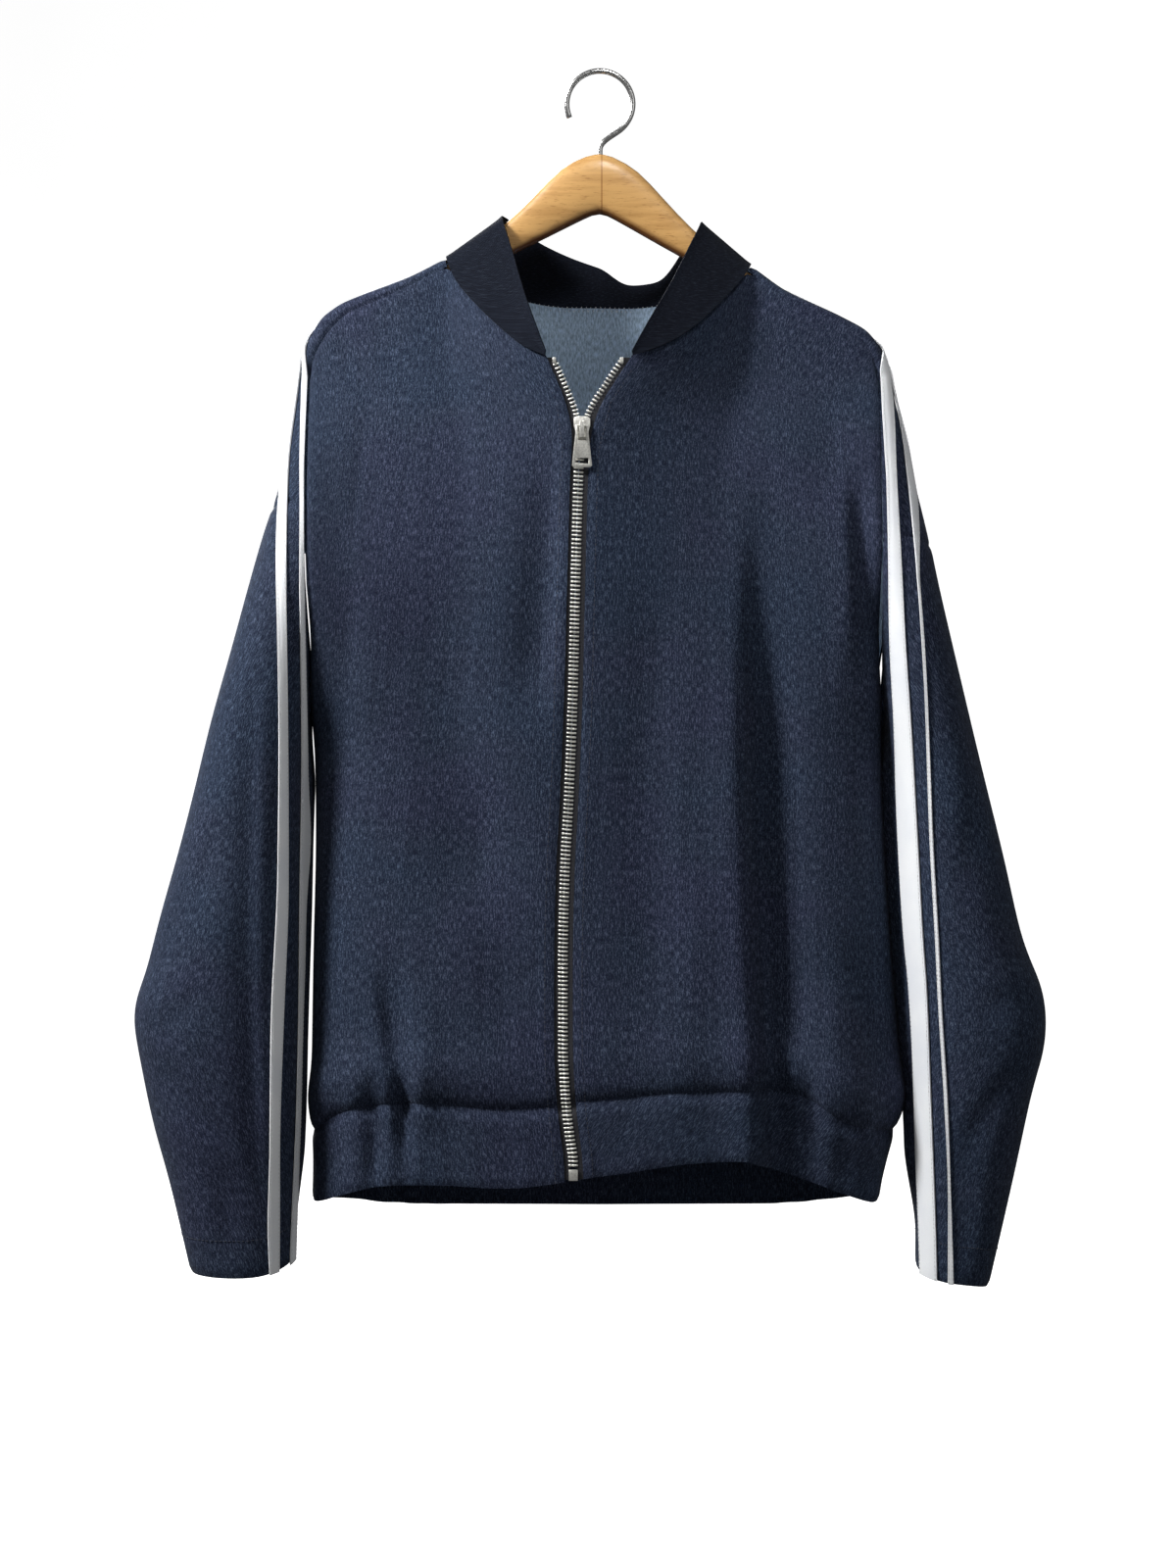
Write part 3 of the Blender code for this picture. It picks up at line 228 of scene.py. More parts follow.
# how far the stripes lie off the fold-over and off the sleeve, and the step that a normal is
# measured over
TURN_LIFT = 0.35
SLEEVE_LIFT = 0.25
FACE_STEP = 0.002

# hanger: the upper edge of one arm, mirrored, then sheared because it hangs a little askew
HANGER_COLUMNS = ("x", "top")
HANGER = (
    (0, -55), (10, -57), (25, -64), (42, -83), (61, -103), (80, -118.5), (100, -131.8),
    (122, -144.2), (152, -158), (168, -166), (176, -171.5), (179.5, -176),
)
HANGER_SLOPE = math.tan(math.radians(2.0))
SEAT_GAP = 0.5
BEHIND_RIDGE = 11.0

# the zip's hard pieces
BOX_WIDTH = 5.8
BOX_TOP = -722.6
RUN_GAP = 0.3
METAL_ROUND = 0.22
TOOTH = (3.9, 2.5, 1.22)
TOOTH_PITCH = 2.72
TOOTH_ROUND = 0.28
# how far the first tooth is below the tape's top, how far each stands over the edge of its tape,
# and how deep it sits in it
TOOTH_START = 2.5
TOOTH_REACH = 0.75
TOOTH_SINK = 0.45

# stitches: pitch, length, thickness and how far they stand off the cloth; the heights that the
# front's run between and are measured at; and the loops' pitch, length, width and thickness
NAVY_STITCH = (3.0, 2.3, 0.22, 0.05)
FRONT_STITCHED = (-205.0, -745.0, -3.0)
WHITE_STITCH = (2.8, 2.1, 0.16, 0.04)
LOOP_PITCH = 1.6
LOOP_SIZE = (2.3, 0.24, 0.3)


def smooth_columns(table, keys):
    """Every column after the first, on a smooth curve that never overshoots its rows."""
    table = np.array(sorted(table), dtype=float)
    x = table[:, 0]
    keys = np.clip(np.asarray(keys, dtype=float), x[0], x[-1])
    steps = np.diff(x)
    slopes = np.diff(table[:, 1:], axis=0) / steps[:, None]
    tangents = np.zeros_like(table[:, 1:])
    tangents[0] = slopes[0]
    tangents[-1] = slopes[-1]
    before = slopes[:-1]
    after = slopes[1:]
    agree = before * after > 0
    total = np.where(agree, before + after, 1.0)
    tangents[1:-1] = np.where(agree, 2.0 * before * after / total, 0.0)
    cell = np.clip(np.searchsorted(x, keys, side="right") - 1, 0, len(x) - 2)
    step = steps[cell]
    s = ((keys - x[cell]) / step)[..., None]
    step = step[..., None]
    low = table[cell, 1:]
    high = table[cell + 1, 1:]
    return ((1 + 2 * s) * (1 - s) ** 2 * low + s * (1 - s) ** 2 * step * tangents[cell]
            + s * s * (3 - 2 * s) * high + s * s * (s - 1) * step * tangents[cell + 1])


def read(table, columns, key, *names):
    """The named columns of a table at one key or many."""
    values = smooth_columns(table, key)
    picked = [values[..., columns.index(name) - 1] for name in names]
    return picked[0] if len(picked) == 1 else picked


def run_lengths(points):
    """The length of a polyline up to each of its points."""
    steps = np.linalg.norm(np.diff(points, axis=0), axis=1)
    return np.concatenate([[0.0], np.cumsum(steps)])


def point_at(places, at, points):
    """Points of a polyline at places, where at holds the place of each of its own points."""
    return np.stack([np.interp(places, at, points[:, i]) for i in range(3)], axis=-1)


def along(points, shares):
    """Points at shares 0..1 of a polyline's length."""
    points = np.asarray(points, dtype=float)
    at = run_lengths(points)
    return point_at(shares, at / at[-1], points)


def quarter(start, end, square, share):
    """A point at a share of the length of a rounded quarter that leaves start along X
    and meets end along Y."""
    turn = np.linspace(0.0, math.pi / 2, 49)
    x = start[0] + (end[0] - start[0]) * np.sin(turn) ** (2.0 / square)
    y = end[1] + (start[1] - end[1]) * np.cos(turn) ** (2.0 / square)
    z = np.full_like(x, start[2])
    return along(np.stack([x, y, z], axis=-1), share)


def arm_point(side, z, angle):
    """A point of the arm's outer face: 0 degrees is toward the body, 90 the front."""
    inner, outer, middle, depth = read(ARM[side], ARM_COLUMNS, z, "inner", "outer", "middle",
                                       "depth")
    turn = np.radians(angle)
    c = np.cos(turn)
    s = np.sin(turn)
    power = 2.0 / ARM_SQUARE
    x = (inner + outer) / 2 - (outer - inner) / 2 * np.sign(c) * np.abs(c) ** power
    y = middle - depth / 2 * np.sign(s) * np.abs(s) ** power
    return np.stack([side * x, y, np.broadcast_to(z, np.shape(x))], axis=-1)


def angle_at(side, z, x):
    """The angle on the arm's front half where its ring is x from the middle."""
    inner, outer = read(ARM[side], ARM_COLUMNS, z, "inner", "outer")
    c = np.clip(((inner + outer) / 2 - x) / ((outer - inner) / 2), -1.0, 1.0)
    return np.degrees(np.arccos(np.sign(c) * np.abs(c) ** (ARM_SQUARE / 2)))


def front_angle(side, z):
    """The angle of the forward seam and, below it, of the front armhole."""
    return np.where(z <= UNDERARM_Z, 0.0,
                    angle_at(side, z, read(ARM[side], ARM_COLUMNS, z, "seam")))


def back_angle(side, z):
    """The angle of the back armhole, from behind the arm round to the underarm."""
    top = ARMHOLE[side][-1][1]
    share = np.clip((top - z) / (top - UNDERARM_Z), 0.0, 1.0)
    return BEHIND_ANGLE + (360.0 - BEHIND_ANGLE) * share ** 1.3


def side_point(side, z, angle):
    """Where the panels end at a height: at the armhole, or at the side seam under it."""
    if z <= UNDERARM_Z:
        x, y = read(SIDE[side], SIDE_COLUMNS, z, "x", "y")
        return np.array([side * x, y, z])
    return arm_point(side, z, angle)


def zip_x(side, z):
    """The chain line of one side of the zip."""
    return read(ZIP_LINE, ZIP_COLUMNS, z, "left" if side > 0 else "right")


def front_section(side, z, share):
    """The front panel's section at a height, from the zip edge round to the side."""
    depth, square = read(FRONT[side], PANEL_COLUMNS, z, "depth", "square")
    start = (zip_x(side, z) + side * EDGE_TO_CHAIN[side], -depth, z)
    return quarter(start, side_point(side, z, float(front_angle(side, z))), square, share)


def back_section(side, z, share):
    """The back panel's section at a height, from the middle out to the side."""
    depth, square = read(BACK, PANEL_COLUMNS, z, "depth", "square")
    return quarter((0.0, depth, z), side_point(side, z, float(back_angle(side, z))), square, share)


def neck_seam(side, t):
    """The collar's seam from the middle of the back (0) to the zip (1)."""
    return collar_curve(side, t, "b")


def collar_curve(side, t, edge):
    """The collar's neck seam (b) or free edge (t) at stations from the back (0) to the zip (1)."""
    end = front_section(side, FRONT[side][0][0], 0.0)
    end_row = (1.0, side * end[0], end[1], end[2],
               side * end[0] - 0.6, end[1] - 0.4, end[2] + COLLAR_END_HEIGHT)
    rows = COLLAR[side] + (end_row,)
    x, y, z = read(rows, COLLAR_COLUMNS, t, edge + "x", edge + "y", edge + "z")
    return np.stack([side * x, y, z], axis=-1)


def hanger_top(x):
    """The height of the hanger's upper edge."""
    return read(HANGER, HANGER_COLUMNS, np.abs(x), "top") - x * HANGER_SLOPE


@functools.lru_cache(maxsize=None)
def shoulder_rows(side):
    """Forward seam and ridge from the neck point to the shoulder's tip."""
    neck = neck_seam(side, NECK_POINT_T)
    tip = arm_point(side, SHOULDER_TIP_Z[side], front_angle(side, SHOULDER_TIP_Z[side]))
    seam = [neck]
    ridge = [neck_seam(side, RIDGE_T)]
    for row in SHOULDER[side]:
        named = dict(zip(SHOULDER_COLUMNS, row))
        seam.append(np.array([side * named["seam_x"], named["seam_y"], named["seam_z"]]))
        x = side * named["ridge_x"]
        lift = hanger_top(x) + DENIM + SEAT_GAP if abs(x) < HANGER[-2][0] else -1e9
        ridge.append(np.array([x, 0.0, max(named["ridge_z"], lift)]))
    seam.append(tip)
    ridge.append(np.array([side * TIP_RIDGE[side][0], 0.0, TIP_RIDGE[side][1]]))
    return np.array(seam), np.array(ridge)


def shoulder_shares(side):
    """Shares of the forward seam at which the shoulder table has its rows."""
    at = run_lengths(shoulder_rows(side)[0])
    return at / at[-1]


@functools.lru_cache(maxsize=None)
def neck_share(section, side, t):
    """The column of a panel that ends at a point of the neck seam."""
    shares = np.linspace(0.0, 1.0, 41)
    x = np.abs(section(side, SHOULDER_TIP_Z[side], shares)[:, 0])
    return float(np.interp(abs(neck_seam(side, t)[0]), x, shares))


def front_top(side, u):
    """The front panel's upper edge: the neck seam, then the forward shoulder seam."""
    split = neck_share(front_section, side, NECK_POINT_T)
    if u <= split:
        curve = neck_seam(side, np.linspace(1.0, NECK_POINT_T, 33))
        return along(curve, u / split)
    return along(shoulder_rows(side)[0], (u - split) / (1.0 - split))


def panel_point(side, u, v, section, hem, top):
    """A panel between its hem seam (v 0) and its upper edge (v 1), to which its section bends."""
    low = hem_z(hem, side, u, section, "seam")
    z = low + (top[2] - low) * v
    pull = top - section(side, top[2], u)
    return section(side, z, u) + pull * v ** 3


def front_point(side, u, v):
    """The front panel: u from the zip to the side, v from the hem seam to the top."""
    return panel_point(side, u, v, front_section, HEM_FRONT[side], front_top(side, u))


def hem_z(table, side, u, section, edge):
    """The height of the hem seam or the hem edge at a column."""
    x = side * section(side, HEM_LEVEL, u)[0]
    return float(read(table, HEM_COLUMNS, x, edge))


def back_turn(side, u):
    """The three points of the fold-over at a shoulder column: behind, on the ridge, at the seam.
    At the neck the fold-over runs along the neck seam."""
    split = neck_share(back_section, side, BEHIND_T)
    share = NECK_INSET + (1.0 - NECK_INSET) * (u - split) / (1.0 - split)
    seam_row, ridge_row = shoulder_rows(side)
    at = shoulder_shares(side)
    seam = along(seam_row, share)
    ridge = point_at(share, at, ridge_row)
    behind = behind_ridge(seam, back_section(side, seam[2], u))
    tip = arm_point(side, SHOULDER_TIP_Z[side], BEHIND_ANGLE)
    near_neck = max(1.0 - share / at[1], 0.0) ** 2
    behind = behind + (neck_seam(side, BEHIND_T) - behind) * near_neck
    behind = behind + (tip - behind) * share ** 4
    return behind, ridge, seam


def back_top(side, u):
    """Where the back panel's upright part ends: at the neck seam, or behind the ridge."""
    split = neck_share(back_section, side, BEHIND_T)
    if u >= split - 1e-9:
        return back_turn(side, max(u, split))[0]
    return neck_seam(side, BEHIND_T * u / split)


def behind_ridge(seam, section):
    """A point as far behind the ridge as the forward seam is in front of it."""
    return np.array([(seam[0] + section[0]) / 2, max(abs(seam[1]) + 1.0, BEHIND_RIDGE), seam[2]])


def turn_point(side, u, w):
    """The back panel where it folds over the shoulder: w from behind (0) to the seam (1)."""
    behind, ridge, seam = back_turn(side, u)
    across = (1.0 - math.cos(math.pi * w)) / 2
    return behind + (seam - behind) * across + (ridge - (behind + seam) / 2) * math.sin(math.pi * w)


def back_point(side, u, v):
    """The back panel below the fold-over: v from the hem seam up to behind the ridge."""
    return panel_point(side, u, v, back_section, HEM_BACK, back_top(side, u))


def drop_angle(side, c, z):
    """The angle of a column of the dropped shoulder at a height."""
    return BEHIND_ANGLE + (float(front_angle(side, z)) - BEHIND_ANGLE) * c


def drop_point(side, c, v):
    """The dropped shoulder: c from behind to the forward seam, v from the armhole up."""
    top = turn_point(side, 1.0, c)
    angle = drop_angle(side, c, ARMHOLE[side][0][1])
    low = float(read(ARMHOLE[side], RING_COLUMNS, angle, "z"))
    z = low + (top[2] - low) * v
    pull = top - arm_point(side, top[2], drop_angle(side, c, top[2]))
    return arm_point(side, z, drop_angle(side, c, z)) + pull * v ** 2


def sleeve_height(side, level, angle):
    """The height of a level of the sleeve at an angle round the arm."""
    if level <= 1.0:
        low = float(read(CUFF[side], RING_COLUMNS, angle, "z"))
        return low + (UNDERARM_Z - low) * level
    top = float(read(ARMHOLE[side], RING_COLUMNS, angle, "z"))
    return UNDERARM_Z + (top - UNDERARM_Z) * (level - 1.0)


def sleeve_reach(side, level, z):
    """The angles that the sleeve runs between: all round the arm below the underarm."""
    if level <= 1.0:
        return 0.0, 360.0
    return float(front_angle(side, z)), float(back_angle(side, z))


def sleeve_point(side, c, v):
    """The sleeve: c from the front edge round to the back, v 0..1 cuff to underarm and
    1..2 underarm to the armhole seam."""
    first, last = 0.0, 360.0
    if v > 1.0:
        first, last = float(front_angle(side, ARMHOLE[side][0][1])), BEHIND_ANGLE
    z = sleeve_height(side, v, first + (last - first) * c)
    start, end = sleeve_reach(side, v, z)
    return arm_point(side, z, start + (end - start) * c)


def columns_of(section, side, t, neck):
    """A panel's columns: along the neck seam, then one at each row of the shoulder."""
    split = neck_share(section, side, t)
    shoulder = split + (1.0 - split) * shoulder_shares(side)[1:]
    return np.concatenate([np.array(neck) * split, shoulder])


def front_columns(side):
    """The front panel's columns from the zip to the side."""
    return columns_of(front_section, side, NECK_POINT_T, np.linspace(0.0, 1.0, 6))


def back_columns(side):
    """The back panel's columns from the middle to the side."""
    stations = np.array([0.0, 0.14, 0.28, 0.4, 0.48, BEHIND_T])
    return columns_of(back_section, side, BEHIND_T, stations / BEHIND_T)


def band_rows(side, u, section, table):
    """The points of one column of the hem band, upward."""
    top = hem_z(table, side, u, section, "seam") + HEM_OVERLAP
    low = hem_z(table, side, u, section, "edge")
    return [section(side, low + (top - low) * share, u) for share in BAND_LEVELS]


def stripe_angle(side, rows, level, edge):
    """The angle of a stripe's edge on a level of the sleeve, whose height varies round the arm."""
    angle = 120.0
    for _ in range(8):
        a, b = read(rows, STRIPE_COLUMNS, sleeve_height(side, level, angle), "a", "b")
        angle = float(angle_at(side, sleeve_height(side, level, angle), a + (b - a) * edge))
    return angle


def unit(vector):
    """The same direction at a length of one."""
    return vector / np.linalg.norm(vector)


def lifted(face, side, a, b, distance):
    """A point of a face moved along its own normal."""
    along_a = face(side, a + FACE_STEP, b) - face(side, a - FACE_STEP, b)
    along_b = face(side, a, b + FACE_STEP) - face(side, a, b - FACE_STEP)
    return face(side, a, b) - side * distance * unit(np.cross(along_a, along_b))


# creases: a line from (x0, z0) to (x1, z1) as seen from the front, how far the fold spreads to the
# left and to the right of it, and its depth, a ridge where that is negative. It wanders a little
# to both sides and fades out over these shares of its start and end
FOLD_WANDER = 0.18
FOLD_START = 0.36
FOLD_END = 0.3
CREASES = {
    "front": (
        (-40, -236, -33, -440, 16, 8, 8.0), (-97, -320, -90, -590, 30, 20, 7.0),
        (-62, -450, -72, -660, 16, 24, 3.0), (-141, -580, -127, -730, 6, 10, 8.0),
        (-122, -590, -116, -712, 7, 13, -3.4), (-54, -603, -38, -589, 3.5, 3.5, 0.9),
        (-166, -300, -172, -560, 12, 9, 2.6), (-150, -196, -165, -330, 9, 12, 1.6),
        (-146, -676, -145, -760, 4, 5, 2.4), (-98, -668, -99, -760, 7, 9, 1.2),
        (-60, -668, -62, -770, 8, 6, 0.8), (-174, -640, -165, -770, 6, 9, 2.0),
        (108, -240, 112, -900, 9, 25, 17.0), (91, -300, 94, -880, 16, 7, -5.0),
        (34, -290, 40, -660, 20, 18, 4.0), (60, -500, 58, -730, 14, 16, -2.6),
        (171, -252, 175, -414, 8, 8, 6.0), (156, -250, 160, -430, 9, 7, -2.4),
        (157, -560, 194, -716, 7, 11, 5.5), (140, -210, 158, -300, 12, 10, 1.8),
        (146, -590, 156, -730, 15, 17, -5.5), (-13, -690, 11, -750, 3.5, 4.5, 1.4),
        (20, -640, 18, -700, 9, 10, 1.0),
    ),
    "back": (
        (-118, -300, -126, -730, 15, 24, 6.0), (96, -330, 106, -712, 20, 13, 5.2),
        (-41, -500, -50, -712, 11, 17, 3.6), (31, -540, 36, -716, 12, 10, 3.2),
        (-176, -360, -150, -570, 9, 13, 3.6), (171, -350, 148, -540, 12, 9, 3.4),
        (8, -226, 66, -290, 9, 14, 2.4), (-14, -230, -74, -296, 13, 9, 2.6),
        (-92, -560, -88, -730, 13, 8, -2.4), (70, -600, 74, -730, 10, 13, -2.2),
        (-150, -640, -158, -740, 8, 12, 3.2), (150, -620, 160, -740, 12, 8, 3.0),
    ),
    "arm_front": (
        (-226, -350, -221, -800, 10, 4.5, 3.0), (-238, -470, -300, -628, 9, 16, 3.0),
        (-236, -720, -288, -640, 10, 8, 2.4), (-250, -610, -300, -632, 9, 12, 2.0),
        (-214, -300, -240, -400, 8, 6, 1.8), (-247, -690, -240, -800, 9, 11, 1.6),
        (-196, -470, -197, -700, 3, 4, 1.0), (238, -350, 246, -560, 8, 12, 2.2),
        (234, -480, 290, -622, 16, 9, 3.0), (232, -716, 280, -646, 8, 10, 2.4),
        (244, -604, 292, -628, 12, 9, 2.0), (222, -318, 212, -352, 5, 6, 1.8),
        (232, -322, 240, -368, 5, 6, 1.4), (241, -680, 238, -800, 11, 8, 1.8),
    ),
    "arm_back": (
        (-216, -360, -262, -600, 10, 15, 3.4), (-226, -640, -296, -624, 9, 9, 2.6),
        (-230, -700, -282, -650, 9, 8, 2.2), (-232, -680, -228, -800, 9, 12, 2.0),
        (214, -360, 256, -590, 14, 10, 3.2), (224, -650, 286, -622, 9, 9, 2.6),
        (230, -704, 276, -648, 8, 9, 2.2), (234, -690, 230, -800, 12, 9, 2.0),
    ),
}
# the cloth at its seams: the reach of its roll, the pinch over the hem seam and the blouse above,
# all in millimetres, and the distance under which two points are one
ROLL_REACH = 2.4
SAME_POINT = 0.02
SEAM_PINCH = 2.4
PINCH_REACH = 4.5
BLOUSE = 4.5
BLOUSE_ABOVE = 22.0
BLOUSE_REACH = 17.0
# how far the band's top runs up behind the body panels
HEM_OVERLAP = 1.3
# how far the dropped shoulder runs in under the back, as a share of its width
SEAM_TUCK = 0.04
# how deep the gathers beside the band's ends are
GATHER = 3.2
# how far the hidden back of each sleeve leans in against the body
LEAN_IN = {1: 7.5, -1: 4.5}


def eased(value, start=0.0, end=1.0):
    """From 0 at the start to 1 at the end, and level before and after."""
    share = np.clip((value - start) / (end - start), 0.0, 1.0)
    return share * share * (3.0 - 2.0 * share)


def crease_depth(rows, x, z):
    """How deep the folds of a table are at points seen from the front."""
    depth = np.zeros_like(x)
    for x0, z0, x1, z1, left, right, deep in rows:
        run = math.hypot(x1 - x0, z1 - z0)
        ux, uz = (x1 - x0) / run, (z1 - z0) / run
        share = ((x - x0) * ux + (z - z0) * uz) / run
        off = ((z - z0) * ux - (x - x0) * uz) * (1.0 if uz < 0 else -1.0)
        wander = FOLD_WANDER * (left + right) * np.sin(share * 5.1 + x0 * 0.7)
        off = off + wander
        spread = np.where(off < 0, left, right)
        ends = eased(share, 0.0, FOLD_START) * eased(share, 1.0, 1.0 - FOLD_END)
        depth += deep * np.exp(-(off / spread) ** 2) * ends
    return depth


def hem_line(x, back):
    """The height of the hem seam at points of the body."""
    if back:
        return read(HEM_BACK, HEM_COLUMNS, np.abs(x), "seam")
    left = read(HEM_FRONT[1], HEM_COLUMNS, x, "seam")
    right = read(HEM_FRONT[-1], HEM_COLUMNS, -x, "seam")
    return np.where(x > ZIP_AT_HEM, left, right)


def hem_puff(x, z, back):
    """The body's blouse over the band, the pinch at the seam and the band's gathers, outward."""
    seam = hem_line(x, back)
    away = eased(np.abs(x), 40.0, 120.0)
    above = z - seam
    pinch = -SEAM_PINCH * np.exp(-(above / PINCH_REACH) ** 2)
    blouse = (BLOUSE * (0.25 + 0.75 * away)
              * np.exp(-((above - BLOUSE_ABOVE) / BLOUSE_REACH) ** 2))
    ripple = (np.sin(x / 3.9 + 1.7 * np.sin(x / 19.0)) + 0.6 * np.sin(x / 6.7 + 2.0)) / 1.6
    near = eased(above, 36.0, 6.0) * eased(above, -62.0, -36.0)
    gathers = GATHER * eased(np.abs(x), 92.0, 142.0) * ripple * near
    return pinch + blouse + gathers


def creased(points, group):
    """Points in millimetres moved by the folds of their part of the jacket."""
    points = np.array(points, dtype=float)
    x, y, z = points[:, 0], points[:, 1], points[:, 2]
    if group == "body":
        front = eased(y, 6.0, -20.0)
        out_front = hem_puff(x, z, False) - crease_depth(CREASES["front"], x, z)
        out_back = hem_puff(x, z, True) - crease_depth(CREASES["back"], x, z)
        points[:, 1] += -out_front * front + out_back * eased(y, -2.0, 24.0)
        side = eased(np.abs(x), 168.0, 190.0) * eased(z, -420.0, -480.0)
        points[:, 0] += np.sign(x) * side * 0.5 * hem_puff(x, z, False)
    elif group == "arm":
        for key, sign, middle in (("arm_front", -1.0, -12.0), ("arm_back", 1.0, -8.0)):
            facing = eased(y, middle, middle + sign * 24.0)
            points[:, 1] -= sign * crease_depth(CREASES[key], x, z) * facing
        for side, lean in LEAN_IN.items():
            inner, outer = read(ARM[side], ARM_COLUMNS, z, "inner", "outer")
            across = (side * x - inner) / (outer - inner)
            inward = eased(across, 1 / 2, 1 / 7) * (side * x > 0.0)
            low = eased(z, -430.0, -480.0) * eased(z, -770.0, -710.0)
            points[:, 0] -= side * lean * inward * low * eased(y, -24.0, -6.0)
    return points


# the stage, in metres and watts; the camera looks at AIM and sees VIEW_HALF to each side of it
FLOOR_Z = -1.05
SWEEP_RADIUS = 8.5
SWEEP_BEND = 1.5
SWEEP_SIDES = 64
AIM = (-0.0078, 0.0, -0.473)
CAMERA_BACK = 2.2
VIEW_HALF = 0.52
SENSOR = 36.0
WORLD_STRENGTH = 0.16
SUN_PLACE = (-1.2, -0.7, 1.1)
SUN_POWER = 0.9
# each lamp's place, what it points at, its width and its power
LAMPS = (
    ("key_light", (-1.2, -0.64, 0.6), (0.0, 0.0, -0.42), 0.35, 40.0),
    ("neck_light", (0.08, -0.55, 0.42), (0.0, 0.0, -0.22), 0.15, 2.0),
    ("back_light", (-0.9, 2.1, 0.7), AIM, 1.0, 38.0),
    ("side_light", (1.3, -1.6, 0.3), AIM, 1.2, 4.5),
)


def colour_setting(name, description, *value):
    """A colour that a user may change."""
    return bpy.props.FloatVectorProperty(name=name, description=description, default=value, size=3,
                                         min=0.0, max=1.0, subtype="COLOR")


def length_setting(name, description, value):
    """A length in metres that a user may change, from a default in millimetres."""
    return bpy.props.FloatProperty(name=name, description=description, default=value * MM, min=0.0,
                                   unit="LENGTH", subtype="DISTANCE", precision=5)


class JacketLooks(bpy.types.PropertyGroup):
    """Sizes and colours of the jacket and its hanger."""

    denim_dark: colour_setting("Denim dark", "Darkest yarns of the face", 0.0036, 0.0064, 0.0175)
    denim_mid: colour_setting("Denim", "Main colour of the face", 0.0108, 0.0172, 0.037)
    denim_slub: colour_setting("Denim slub", "Pale flecks in the face", 0.074, 0.096, 0.15)
    # partly painted light: the reverse is paler than the face, as real denim is, and paler still to
    # stand for light on the shaded inside
    denim_reverse_painted_light: colour_setting("Denim reverse", "Colour of the inner face", 0.34, 0.45, 0.58)
    stripe_white: colour_setting("Stripe", "White of the sleeve stripes", 0.80, 0.815, 0.83)
    tape_black: colour_setting("Zip tape", "Near-black of the woven tape", 0.010, 0.010, 0.012)
    zip_metal: colour_setting("Zip metal", "Nickel of the zip's metal", 0.90, 0.89, 0.83)
    wood_honey: colour_setting("Hanger wood", "Honey colour of the hanger", 0.50, 0.285, 0.098)
    denim_thick: length_setting("Denim thickness", "Wall of each denim panel", DENIM)
    ribbon_thick: length_setting("Ribbon thickness", "Wall of each sleeve stripe", STRIPE)
    topstitch_in: length_setting("Topstitch inset", "From the front edge to its stitches", 6.0)
    cuff_stitch_up: length_setting("Cuff stitch height", "From the cuff's edge up", 25.0)


# weaves: a wave texture of scale 1 repeats every 0.314 m, and the ribs are these millimetres apart
WAVE_REPEAT = 0.314
TWILL_PITCH = 0.85
TWILL_TURN = math.radians(27.0)
RIBBON_PITCH = 0.75
TAPE_PITCH = 0.9
HANGER_JOINT = 1.3
# a tint that changes nothing
PLAIN = (1.0, 1.0, 1.0)


